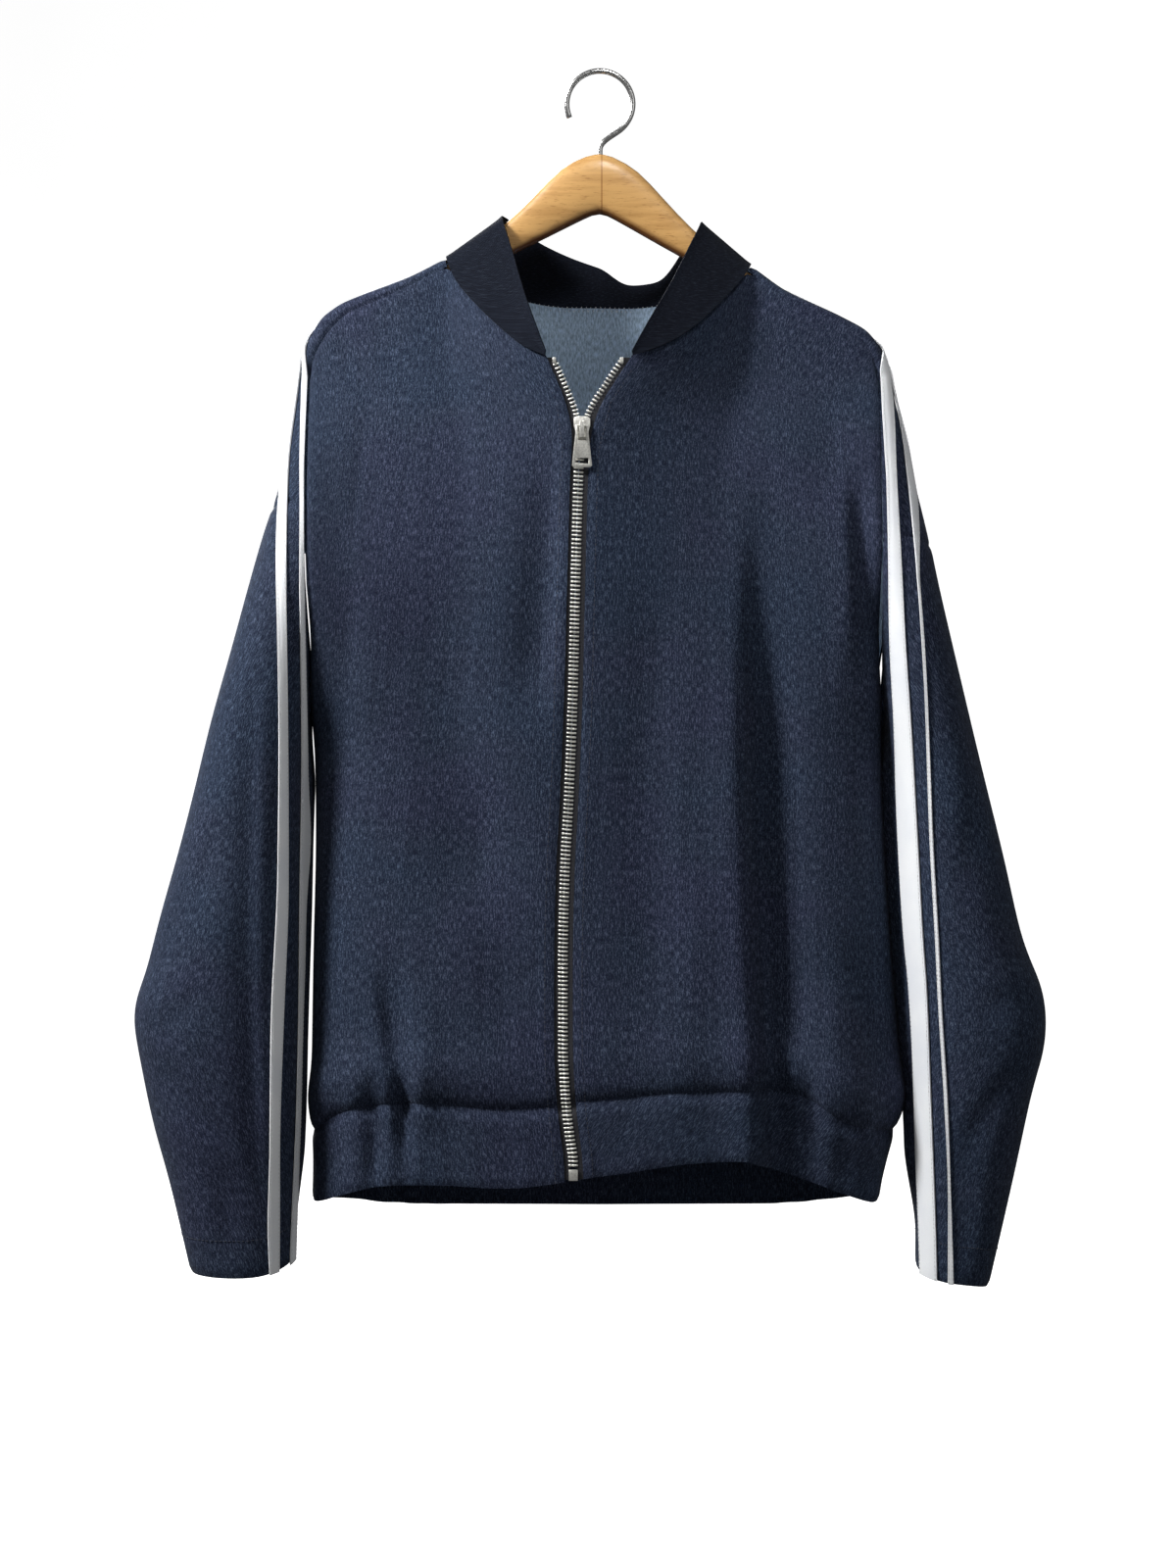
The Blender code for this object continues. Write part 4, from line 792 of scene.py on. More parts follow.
class Shader:
    """A material's node tree with a short way to add and join nodes."""

    def __init__(self, name):
        self.material = bpy.data.materials.new(name)
        self.material.use_nodes = True
        self.tree = self.material.node_tree
        self.surface = self.tree.nodes["Principled BSDF"]

    def node(self, kind, **inputs):
        """A new node with its inputs set or joined."""
        made = self.tree.nodes.new("ShaderNode" + kind)
        for key, value in inputs.items():
            self.put(made, key, value)
        return made

    def put(self, node, key, value):
        """Sets an input, or joins it to another node's output."""
        socket = node.inputs[key if isinstance(key, int) else key.replace("_", " ")]
        if isinstance(value, bpy.types.NodeSocket):
            self.tree.links.new(value, socket)
        else:
            socket.default_value = value

    def cloth_coords(self, across, along):
        """The cloth's own lengths, in repeats a metre across and along the grain."""
        uv = self.node("UVMap")
        uv.uv_map = "cloth"
        scale = (across, along, 1.0)
        return self.node("Mapping", Vector=uv.outputs["UV"], Scale=scale).outputs["Vector"]

    def object_coords(self, *scale):
        """The piece's own place, in repeats a metre along each axis."""
        place = self.node("TexCoord").outputs["Object"]
        return self.node("Mapping", Vector=place, Scale=scale).outputs["Vector"]

    def noise(self, vector, scale, detail, rough):
        return self.node("TexNoise", Vector=vector, Scale=scale, Detail=detail,
                         Roughness=rough).outputs["Fac"]

    def yarns(self, across, along, detail=2.0, rough=0.6):
        """Uneven yarns, in repeats a metre across and along the cloth."""
        return self.noise(self.cloth_coords(across, along), 1.0, detail, rough)

    def ribs(self, pitch, turn=0.0, **settings):
        """The fine ribs of a weave, a pitch in millimetres apart."""
        coords = self.cloth_coords(1.0, 1.0)
        if turn:
            turned = self.node("Mapping", Vector=coords, Rotation=(0.0, 0.0, turn))
            coords = turned.outputs["Vector"]
        return self.node("TexWave", Vector=coords, Scale=WAVE_REPEAT / (pitch * MM),
                         **settings).outputs["Fac"]

    def ramp(self, value, *stops):
        """A colour for each value, between stops of a place and a colour."""
        made = self.node("ValToRGB", Fac=value)
        points = made.color_ramp.elements
        while len(points) < len(stops):
            points.new(0.5)
        for point, (place, colour) in zip(points, stops):
            point.position = place
            point.color = (*colour, 1.0)
        return made.outputs["Color"]

    def mix(self, share, a, b, blend="MIX"):
        made = self.node("Mix")
        made.data_type = "RGBA"
        made.blend_type = blend
        for key, value in ((0, share), (6, a), (7, b)):
            if isinstance(value, bpy.types.NodeSocket):
                self.tree.links.new(value, made.inputs[key])
            else:
                made.inputs[key].default_value = value if key == 0 else (*value, 1.0)
        return made.outputs[2]

    def times(self, a, b):
        """One colour tinted by another."""
        return self.mix(1.0, a, b, "MULTIPLY")

    def maths(self, operation, a, b=0.0):
        made = self.node("Math")
        made.operation = operation
        self.put(made, 0, a)
        self.put(made, 1, b)
        return made.outputs[0]

    def bump(self, height, strength, distance, after=None):
        made = self.node("Bump", Height=height, Strength=strength, Distance=distance)
        if after is not None:
            self.put(made, "Normal", after)
        return made.outputs["Normal"]

    def finish(self, **inputs):
        """The material, once the inputs of its surface are set or joined."""
        for key, value in inputs.items():
            self.put(self.surface, key, value)
        return self.material

    def denim(self, yarn, heather, rib_height, yarn_height, **inputs):
        """Denim's surface: diagonal ribs under the uneven yarns."""
        twill = self.ribs(TWILL_PITCH, TWILL_TURN, Distortion=0.6, Detail=1.0)
        weave = self.bump(twill, rib_height, 0.0003)
        return self.finish(Base_Color=yarn, Normal=self.bump(heather, yarn_height, 0.0004, weave),
                           **inputs)


def looks():
    """The settings that the panel shows."""
    return bpy.context.scene.jacket_looks


def once(maker):
    """Each material is made on its first use and shared after that."""
    return functools.lru_cache(maxsize=None)(maker)


def toned(colour, share):
    """A colour made darker or paler."""
    return tuple(min(value * share, 1.0) for value in colour)


@once
def denim_face():
    shade = Shader("denim_face")
    warp = shade.yarns(1350.0, 210.0, 3.0, 0.62)
    fleck = shade.yarns(2400.0, 700.0, 2.0, 0.7)
    heather = shade.maths("ADD", shade.maths("MULTIPLY", warp, 0.55),
                          shade.maths("MULTIPLY", fleck, 0.45))
    yarn = shade.ramp(heather, (0.39, looks().denim_dark), (0.5, looks().denim_mid),
                      (0.62, looks().denim_slub))
    cloud = shade.noise(shade.object_coords(1.0, 1.0, 1.0), 11.0, 3.0, 0.55)
    clouded = shade.times(yarn, shade.ramp(cloud, (0.36, (0.93, 1.02, 1.03)), (0.5, PLAIN),
                                           (0.64, (1.07, 0.97, 1.04))))
    streaks = shade.yarns(330.0, 9.0, 2.0, 0.5)
    streaked = shade.times(clouded, shade.ramp(streaks, (0.32, (0.82, 0.82, 0.84)),
                                               (0.68, (1.17, 1.16, 1.13))))
    return shade.denim(streaked, heather, 0.35, 0.4, Roughness=0.86, Sheen_Weight=0.02,
                       Sheen_Roughness=0.45, Specular_IOR_Level=0.16)


@once
def denim_reverse_painted_light():
    shade = Shader("denim_reverse_painted_light")
    # partly painted light: the reverse's own pale tone, raised further for light that the shaded
    # inside does not get
    colour = looks().denim_reverse_painted_light
    heather = shade.yarns(900.0, 260.0, 3.0, 0.65)
    yarn = shade.ramp(heather, (0.34, toned(colour, 0.55)), (0.52, colour),
                      (0.68, toned(colour, 1.35)))
    return shade.denim(yarn, heather, 0.4, 0.4, Roughness=0.92, Sheen_Weight=0.15,
                       Sheen_Roughness=0.5, Specular_IOR_Level=0.2)


@once
def collar_face_painted_shade():
    shade = Shader("denim_collar_painted_shade")
    heather = shade.yarns(420.0, 1100.0, 3.0, 0.65)
    # painted shade: the face's own denim colours toned far darker, for the shade that the collar
    # stands in
    yarn = shade.ramp(heather, (0.36, toned(looks().denim_dark, 0.35)),
                      (0.54, toned(looks().denim_mid, 0.3)),
                      (0.68, toned(looks().denim_slub, 0.17)))
    return shade.denim(yarn, heather, 0.35, 0.35, Roughness=0.88, Sheen_Weight=0.02,
                       Sheen_Roughness=0.45, Specular_IOR_Level=0.12)


@once
def ribbon():
    shade = Shader("white_ribbon")
    white = tuple(looks().stripe_white)
    cross = shade.yarns(700.0, 1500.0)
    yarn = shade.mix(shade.maths("MULTIPLY", cross, 0.5), white, toned(white, 0.8))
    wear = shade.noise(shade.object_coords(1.0, 1.0, 1.0), 26.0, 3.0, 0.6)
    worn = shade.times(yarn, shade.ramp(wear, (0.3, (0.9, 0.91, 0.94)), (0.6, PLAIN)))
    height = shade.maths("ADD", shade.ribs(RIBBON_PITCH), cross)
    return shade.finish(Base_Color=worn, Roughness=0.62, Sheen_Weight=0.1, Sheen_Roughness=0.3,
                        Normal=shade.bump(height, 0.3, 0.0002))


@once
def tape_cloth():
    shade = Shader("zip_tape_cloth")
    black = looks().tape_black
    bands = shade.ribs(TAPE_PITCH, Distortion=1.2, Detail=1.0)
    yarn = shade.ramp(shade.yarns(1400.0, 1400.0), (0.4, black), (0.65, toned(black, 3.0)))
    return shade.finish(Base_Color=yarn, Roughness=0.75, Specular_IOR_Level=0.3,
                        Normal=shade.bump(bands, 0.4, 0.0003))


def metal(name, colour, rough, *grain):
    """Worn metal, darker and rougher in places."""
    shade = Shader(name)
    dirt = shade.noise(shade.object_coords(*grain), 1.0, 3.0, 0.6)
    tone = shade.ramp(dirt, (0.32, toned(colour, 0.74)), (0.6, colour))
    worn = shade.maths("ADD", shade.maths("MULTIPLY", dirt, 0.16), rough - 0.08)
    return shade.finish(Base_Color=tone, Metallic=1.0, Roughness=worn,
                        Normal=shade.bump(dirt, 0.12, 0.0002))


@once
def zip_nickel():
    return metal("zip_nickel", looks().zip_metal, 0.42, 900.0, 900.0, 900.0)


@once
def hook_steel():
    return metal("hook_steel", (0.66, 0.66, 0.65), 0.22, 260.0, 260.0, 700.0)


@once
def beech():
    shade = Shader("hanger_beech")
    honey = tuple(looks().wood_honey)
    deep = (honey[0] * 0.62, honey[1] * 0.52, honey[2] * 0.4)
    pale = toned(honey, 1.16)
    grain = shade.noise(shade.object_coords(14.0, 190.0, 190.0), 1.0, 5.0, 0.6)
    rings = shade.node("TexWave", Vector=shade.object_coords(1.5, 9.0, 9.0), Scale=3.0,
                       Distortion=5.0, Detail=3.0).outputs["Fac"]
    figure = shade.mix(0.35, shade.ramp(grain, (0.3, deep), (0.5, honey), (0.72, pale)),
                       shade.ramp(rings, (0.1, honey), (0.9, pale)))
    pores = shade.noise(shade.object_coords(160.0, 1500.0, 1500.0), 1.0, 2.0, 0.5)
    flecked = shade.times(figure, shade.ramp(pores, (0.28, (0.62, 0.52, 0.42)), (0.4, PLAIN)))
    # painted shade: the faces turned downward are darkened, and a thin line marks where the two
    # halves are joined
    normal = shade.node("NewGeometry").outputs["Normal"]
    facing = shade.node("SeparateXYZ", Vector=normal).outputs["Z"]
    lower = shade.ramp(shade.maths("MULTIPLY", facing, -1.0), (0.3, PLAIN),
                       (0.62, (0.3, 0.19, 0.12)))
    place = shade.node("TexCoord").outputs["Object"]
    across = shade.node("SeparateXYZ", Vector=place).outputs["X"]
    off = shade.maths("ABSOLUTE", shade.maths("SUBTRACT", across, HANGER_JOINT * MM))
    joint = shade.ramp(shade.maths("MULTIPLY", off, 1.0 / MM), (0.25, (0.55, 0.42, 0.3)),
                       (0.6, PLAIN))
    shaded_and_jointed = shade.times(shade.times(flecked, lower), joint)
    return shade.finish(Base_Color=shaded_and_jointed, Roughness=0.36, Coat_Weight=0.35, Coat_Roughness=0.25,
                        Normal=shade.bump(grain, 0.12, 0.0004))


def thread(name, *colour):
    """Twisted sewing thread."""
    shade = Shader(name)
    twist = shade.noise(shade.object_coords(2200.0, 2200.0, 2200.0), 1.0, 2.0, 0.5)
    tone = shade.ramp(twist, (0.35, toned(colour, 0.6)), (0.6, colour))
    return shade.finish(Base_Color=tone, Roughness=0.7, Sheen_Weight=0.2,
                        Normal=shade.bump(twist, 0.3, 0.0002))


@once
def navy_thread():
    return thread("navy_thread", 0.016, 0.019, 0.036)


@once
def white_thread():
    return thread("white_thread", 0.66, 0.67, 0.68)


FINISHES = {
    "denim": denim_face,
    "reverse": denim_reverse_painted_light,
    "collar": collar_face_painted_shade,
    "ribbon": ribbon,
    "tape": tape_cloth,
    "nickel": zip_nickel,
    "steel": hook_steel,
    "beech": beech,
    "navy_thread": navy_thread,
    "white_thread": white_thread,
}


def refined(values, parts=2):
    """The same run of values with more steps between them."""
    values = np.asarray(values, dtype=float)
    places = np.arange((len(values) - 1) * parts + 1) / parts
    return np.interp(places, np.arange(len(values)), values)


def grid_uv(grid, middle=0):
    """Lengths in metres over a grid: across from one of its columns, and up from its foot."""
    points = np.array(grid) * MM
    u = np.array([run_lengths(row) for row in points])
    v = np.array([run_lengths(column) for column in points.swapaxes(0, 1)]).T
    return np.stack([u - u[:, middle:middle + 1], v + points[0, :, 2]], axis=-1)


def deselect():
    """The import leaves its nodes selected, and an operator acts on all that is selected."""
    for obj in bpy.context.selected_objects:
        obj.select_set(False)


def focus(obj):
    """Selects one object alone."""
    deselect()
    obj.select_set(True)
    bpy.context.view_layer.objects.active = obj


def add_step(obj, kind, **settings):
    """A modifier with its settings."""
    step = obj.modifiers.new(kind.lower(), kind)
    for key, value in settings.items():
        setattr(step, key, value)


def apply_all(obj):
    """Applies every modifier of a piece."""
    focus(obj)
    for step in list(obj.modifiers):
        bpy.ops.object.modifier_apply(modifier=step.name)


def shade_soft(mesh, angle):
    """Smooth shading, with the edges sharper than an angle in degrees left crisp."""
    mesh.shade_smooth()
    mesh.set_sharp_from_angle(angle=math.radians(angle))


def link_mesh(name, mesh, finishes, body="jacket"):
    """A new piece that rides on a body, with its finishes in its material slots."""
    obj = bpy.data.objects.new(name, mesh)
    bpy.context.scene.collection.objects.link(obj)
    for finish in finishes:
        mesh.materials.append(FINISHES[finish]())
    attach(obj, body)
    return obj


def surface_points(mesh):
    """The places of a mesh's points, in metres."""
    points = np.empty(len(mesh.vertices) * 3)
    mesh.vertices.foreach_get("co", points)
    return points.reshape(-1, 3)


def set_points(mesh, points):
    """Moves a mesh's points, in metres."""
    mesh.vertices.foreach_set("co", np.asarray(points).ravel())
    mesh.update()


def roll_edges(mesh, depth, reach):
    """Lets the cloth sink a little towards its seams."""
    bm = bmesh.new()
    bm.from_mesh(mesh)
    edge = sorted({vert.index for line in bm.edges if line.is_boundary for vert in line.verts})
    bm.verts.ensure_lookup_table()
    tree = kdtree.KDTree(len(edge))
    for index in edge:
        tree.insert(bm.verts[index].co, index)
    tree.balance()
    for vert in bm.verts:
        far = tree.find(vert.co)[2]
        if far < 3.0 * reach:
            vert.co -= vert.normal * depth * math.exp(-(far / reach) ** 2)
    bm.to_mesh(mesh)
    bm.free()


def cloth_piece(name, grids, group, thickness, finishes, levels=2, roll=1.1):
    """A thin shell from grids of its outer face, with folds, sunken seams and a wall. The roll is
    how far the cloth sinks at its seams, in millimetres."""
    bm = bmesh.new()
    layer = bm.loops.layers.uv.new("cloth")
    for grid, uv in grids:
        rows = [[bm.verts.new(np.asarray(point) * MM) for point in row] for row in grid]
        for i in range(len(rows) - 1):
            for j in range(len(rows[0]) - 1):
                corners = ((i, j), (i, j + 1), (i + 1, j + 1), (i + 1, j))
                face = bm.faces.new([rows[a][b] for a, b in corners])
                for loop, (a, b) in zip(face.loops, corners):
                    loop[layer].uv = uv[a][b]
    bmesh.ops.remove_doubles(bm, verts=bm.verts, dist=SAME_POINT * MM)
    mesh = bpy.data.meshes.new(name)
    bm.to_mesh(mesh)
    bm.free()
    obj = link_mesh(name, mesh, finishes)
    add_step(obj, "SUBSURF", levels=levels, render_levels=levels,
             boundary_smooth="PRESERVE_CORNERS")
    apply_all(obj)
    set_points(mesh, creased(surface_points(mesh) / MM, group) * MM)
    if roll:
        roll_edges(mesh, roll * MM, ROLL_REACH * MM)
    add_step(obj, "SOLIDIFY", thickness=thickness, offset=-1.0,
             material_offset=len(finishes) - 1)
    apply_all(obj)
    shade_soft(mesh, 55)
    return obj


def declare(obj, node):
    """Hides the node that a piece of cloth stands for."""
    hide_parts(node)


def tooth_shape():
    """One tooth of the zip: a bar, rounded on its edges."""
    deselect()
    bpy.ops.mesh.primitive_cube_add(size=MM)
    obj = bpy.context.object
    obj.scale = TOOTH
    bpy.ops.object.transform_apply(location=True, rotation=True, scale=True)
    add_step(obj, "BEVEL", width=TOOTH_ROUND * MM, segments=1)
    apply_all(obj)
    return obj


def stitch_shape():
    """One stitch: a short length of thread, thick in the middle."""
    deselect()
    bpy.ops.mesh.primitive_uv_sphere_add(segments=6, ring_count=4, radius=1.0)
    return bpy.context.object


def stamped(name, pattern, frames, finish):
    """One mesh of many copies of a small shape. A frame is a place and three axes in metres."""
    local = surface_points(pattern.data)
    faces = [tuple(face.vertices) for face in pattern.data.polygons]
    bpy.data.objects.remove(pattern)
    places, axes = (np.array(part) for part in zip(*frames))
    points = np.einsum("vk,fkc->fvc", local, axes) + places[:, None, :]
    copies = [tuple(index + first for index in face)
              for first in range(0, len(local) * len(frames), len(local)) for face in faces]
    mesh = bpy.data.meshes.new(name)
    mesh.from_pydata(points.reshape(-1, 3).tolist(), [], copies)
    mesh.update()
    shade_soft(mesh, 50)
    link_mesh(name, mesh, (finish,))


def stitch_frames(line, outward, pitch, length, thread, lift):
    """Frames of stitches along a line of points, in millimetres."""
    line = np.asarray(line, dtype=float)
    outward = np.asarray(outward, dtype=float)
    at = run_lengths(line)
    frames = []
    for place in np.arange(pitch / 2, at[-1], pitch):
        here, before, after = (point_at(place + shift, at, line) for shift in (0.0, -0.5, 0.5))
        normal = unit(point_at(place, at, outward))
        run = unit(after - before)
        axes = [run * length / 2, np.cross(normal, run) * thread, normal * thread]
        frames.append(((here + normal * lift) * MM, np.stack(axes) * MM))
    return frames


def facing_out(grid, uv, turned):
    """A grid and its lengths, with the columns turned round where its faces would look inwards."""
    return ([row[::-1] for row in grid], uv[:, ::-1]) if turned else (grid, uv)


def front_grid(side):
    """The outer face of a front panel."""
    columns = refined(front_columns(side))
    grid = [[front_point(side, u, v) for u in columns] for v in refined(FRONT_LEVELS)]
    return facing_out(grid, grid_uv(grid) * np.array([side, 1.0]), side < 0)


def back_grids():
    """The outer face of the back, of its two fold-overs and of the two dropped shoulders."""
    turns = np.linspace(0.0, 1.0, 11)
    halves = {}
    pieces = []
    for side in (1, -1):
        columns = refined(back_columns(side))
        halves[side] = [[back_point(side, u, v) for u in columns] for v in refined(BACK_LEVELS)]
        split = neck_share(back_section, side, BEHIND_T)
        shoulder = [u for u in columns if u > split - 1e-9]
        folded = [[turn_point(side, u, w) for u in shoulder] for w in turns]
        dropped = [[drop_point(side, c, v) for c in (-SEAM_TUCK, *turns)]
                   for v in refined(DROP_LEVELS)]
        pieces += [facing_out(patch, grid_uv(patch), side > 0) for patch in (folded, dropped)]
    whole = [left[:0:-1] + right for left, right in zip(halves[1], halves[-1])]
    return [(whole, grid_uv(whole, len(whole[0]) // 2))] + pieces


def sleeve_grid(side):
    """The outer face of a sleeve, from its front edge round to the back."""
    grid = [[sleeve_point(side, c, v) for c in np.linspace(0.0, 1.0, SLEEVE_COLUMNS)]
            for v in refined(SLEEVE_LEVELS)]
    return facing_out(grid, grid_uv(grid, SLEEVE_COLUMNS // 2), side < 0)


def collar_grid():
    """The outer face of the collar, from the right zip edge round to the left."""
    stations = np.linspace(0.0, 1.0, COLLAR_STATIONS)
    line = [(-1, t) for t in stations[::-1]] + [(1, t) for t in stations[1:]]
    seam, free = (np.array([collar_curve(side, t, edge) for side, t in line]) for edge in "bt")
    grid = [list(seam + (free - seam) * share) for share in COLLAR_LEVELS]
    return grid, grid_uv(grid, COLLAR_STATIONS - 1)


def band_grid():
    """The outer face of the hem band, from the right zip edge round the back to the left."""
    line = [(-1, u, front_section, HEM_FRONT[-1]) for u in refined(front_columns(-1))]
    line += [(-1, u, back_section, HEM_BACK) for u in refined(back_columns(-1))[-2::-1]]
    line += [(1, u, back_section, HEM_BACK) for u in refined(back_columns(1))[1:]]
    line += [(1, u, front_section, HEM_FRONT[1]) for u in refined(front_columns(1))[-2::-1]]
    columns = [band_rows(side, u, section, table) for side, u, section, table in line]
    grid = [list(row)[::-1] for row in zip(*columns)]
    return grid, grid_uv(grid, len(grid[0]) // 2)


def stripe_grid(name, side, rows):
    """A stripe's outer face, up the sleeve, up the dropped shoulder and over to the neck."""
    edges = np.linspace(0.0, 1.0, 4)
    away = LAY_GAP + STRIPE
    grid = []
    for level in refined(SLEEVE_LEVELS):
        row = []
        for edge in edges:
            angle = stripe_angle(side, rows, level, edge)
            start, end = sleeve_reach(side, level, sleeve_height(side, level, angle))
            share = (angle - start) / (end - start)
            row.append(lifted(sleeve_point, side, share, level, -away - SLEEVE_LIFT))
        grid.append(row)
    for level in refined(DROP_LEVELS)[2:]:
        first, last = read(STRIPE_LANES[name], LANE_COLUMNS, level, "a", "b")
        places = first + (last - first) * edges
        lift = SLEEVE_LIFT + (TURN_LIFT - SLEEVE_LIFT) * level
        grid.append([lifted(drop_point, side, c, level, away + lift) for c in places])
    # over the shoulder: the lanes ease into those of the dropped shoulder, then run straight
    columns = back_columns(side)[-len(SHOULDER[side]) - 1:-1]
    steps = [(columns[-2] + (1.0 - columns[-2]) * k, eased(k)) for k in np.linspace(0.9, 0.0, 10)]
    first, last = OVER_LANES[name]
    lanes = first + (last - first) * edges
    for u, blend in steps + [(u, 0.0) for u in refined(columns[:-2])[-2::-1]]:
        grid.append([lifted(turn_point, side, u, w, away + TURN_LIFT)
                     for w in lanes + (places - lanes) * blend])
    return facing_out(grid, grid_uv(grid), side < 0)


@functools.lru_cache(maxsize=None)
def edge_columns(side):
    """The two columns of cloth nearest the zip, from the hem up."""
    lines = []
    for u in front_columns(side)[:2]:
        column = band_rows(side, u, front_section, HEM_FRONT[side])
        column += [front_point(side, u, v) for v in FRONT_LEVELS]
        lines.append(np.array(column))
    return lines


def front_edge(side, z, reach):
    """A point of the front's first strip of cloth at a height, a reach in from the zip edge."""
    first, second = (point_at(z, line[:, 2], line) for line in edge_columns(side))
    return first + unit(second - first) * reach


def tape_rows(side):
    """Points of a zip tape's face by height: at the chain, at the cloth's edge and under it."""
    rows = []
    behind = DENIM + LAY_GAP + TAPE_SINK
    for z in np.linspace(TAPE_BOTTOM, TAPE_TOP, TAPE_ROWS):
        gap = BOX_WIDTH / 2 + RUN_GAP if z < BOX_TOP + RUN_GAP else CHAIN_GAP
        edge = front_edge(side, z, 0.0)
        under = front_edge(side, z, TAPE_UNDER)
        across = (under - edge) / TAPE_UNDER
        inward = np.array([-side * across[1], abs(across[0]), 0.0]) * behind
        edge = edge + inward
        under = under + inward
        rows.append([np.array([zip_x(side, z) + side * gap, edge[1], z]), edge,
                     (edge + under) / 2, under])
    return rows


def denim_piece(node, grids, group, finishes=("denim", "reverse"), **settings):
    """A denim panel in the place of its node."""
    thickness = looks().denim_thick
    declare(cloth_piece(node + "_cloth", grids, group, thickness, finishes, **settings), node)


def tooth_frames(side):
    """Where the teeth of one side stand, down the chain line."""
    rows = tape_rows(side)
    heights = np.array([row[0][2] for row in rows])
    faces = np.array([row[1][1] for row in rows])
    frames = []
    z = TAPE_TOP - TOOTH_START - (0.0 if side > 0 else TOOTH_PITCH / 2)
    while z > BOX_TOP + 1.0:
        x, low, high = (float(zip_x(side, z + shift)) for shift in (0.0, -1.0, 1.0))
        lean = unit(np.array([high - low, 0.0, 2.0]))
        across = np.cross([0.0, 1.0, 0.0], lean)
        y = float(np.interp(z, heights, faces)) + TOOTH_SINK
        middle = np.array([x, y, z]) + across * side * (TOOTH[0] / 2 - TOOTH_REACH)
        middle = creased(middle[None], "body")[0]
        frames.append((middle * MM, np.array([across, [0.0, 1.0, 0.0], lean])))
        z -= TOOTH_PITCH * lean[2]
    return frames


def dressed(node, finish, body="jacket", bevel=0.0):
    """A finished copy of a hard piece in its place: its edges rounded by a bevel, or all of it
    smoothed where there is none."""
    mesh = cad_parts[node].data.copy()
    mesh.materials.clear()
    bm = bmesh.new()
    bm.from_mesh(mesh)
    bmesh.ops.remove_doubles(bm, verts=bm.verts, dist=0.005 * MM)
    if bevel:
        bmesh.ops.dissolve_limit(bm, angle_limit=math.radians(2), verts=bm.verts, edges=bm.edges)
    else:
        bmesh.ops.join_triangles(bm, faces=bm.faces, angle_face_threshold=math.radians(35),
                                 angle_shape_threshold=math.radians(60))
    bm.to_mesh(mesh)
    bm.free()
    obj = link_mesh(node + "_finished", mesh, (finish,), body)
    if bevel:
        add_step(obj, "BEVEL", width=bevel * MM, segments=2, limit_method="ANGLE",
                 angle_limit=math.radians(40))
    else:
        add_step(obj, "SUBSURF", levels=1, render_levels=1)
    apply_all(obj)
    shade_soft(mesh, 38)
    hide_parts(node)


def front_stitches(side):
    """The line of stitches beside the zip edge."""
    line, outward = [], []
    for z in np.arange(*FRONT_STITCHED):
        edge = front_edge(side, z, 0.0)
        across = unit(front_edge(side, z, 5.0) - edge)
        line.append(edge + across * looks().topstitch_in / MM)
        outward.append([side * across[1], -abs(across[0]), 0.0])
    return stitch_frames(creased(line, "body"), outward, *NAVY_STITCH)


def cuff_stitches(side):
    """The ring of stitches that holds the sleeve's hem."""
    ring, outward = [], []
    for c in np.linspace(0.0, 1.0, 81):
        foot = sleeve_height(side, 0.0, 360.0 * c)
        v = looks().cuff_stitch_up / MM / (UNDERARM_Z - foot)
        ring.append(sleeve_point(side, c, v))
        run = (sleeve_point(side, min(c + FACE_STEP, 1.0), v)
               - sleeve_point(side, max(c - FACE_STEP, 0.0), v))
        outward.append(unit(np.cross(run, [0.0, 0.0, side])))
    return stitch_frames(creased(ring, "arm"), outward, *NAVY_STITCH)


def stripe_stitches(name, side, rows):
    """Two lines of stitches, near the two edges of a stripe."""
    grid = np.array(stripe_grid(name, side, rows)[0])
    width = grid[:, -1] - grid[:, 0]
    frames = []
    for column, inward in ((0, 1), (-1, -2)):
        edge = grid[:, column]
        across = grid[:, inward] - edge
        across /= np.linalg.norm(across, axis=1)[:, None]
        line = edge + across * np.minimum(1.0, np.linalg.norm(width, axis=1) * 0.18)[:, None]
        way = np.cross(width, np.gradient(line, axis=0))
        frames += stitch_frames(creased(line, "arm"), way, *WHITE_STITCH)
    return frames


def overlock_frames():
    """Loops over the back neck seam: those of white thread, and every third of navy."""
    half = np.linspace(0.5, 0.0, 60)
    line = [(-1, t) for t in half] + [(1, t) for t in half[-2::-1]]
    seam = np.array([collar_curve(side, t, "b") for side, t in line])
    at = run_lengths(seam)
    white, navy = [], []
    for k, place in enumerate(np.arange(LOOP_PITCH / 2, at[-1], LOOP_PITCH)):
        here = point_at(place, at, seam)
        run = unit(point_at(place + 0.5, at, seam) - here)
        inward = unit(np.cross(run, [0.0, 0.0, 1.0]))
        inward = inward if inward[1] < 0.0 else -inward
        lean = unit(np.array([0.0, 0.0, 1.0]) + run * (0.55 if k % 2 else -0.35))
        middle = here + inward * (DENIM + 0.5) - np.array([0.0, 0.0, 1.2])
        axes = np.stack([lean, run, inward]) * np.array(LOOP_SIZE)[:, None] * MM
        (navy if k % 3 == 1 else white).append((middle * MM, axes))
    return white, navy


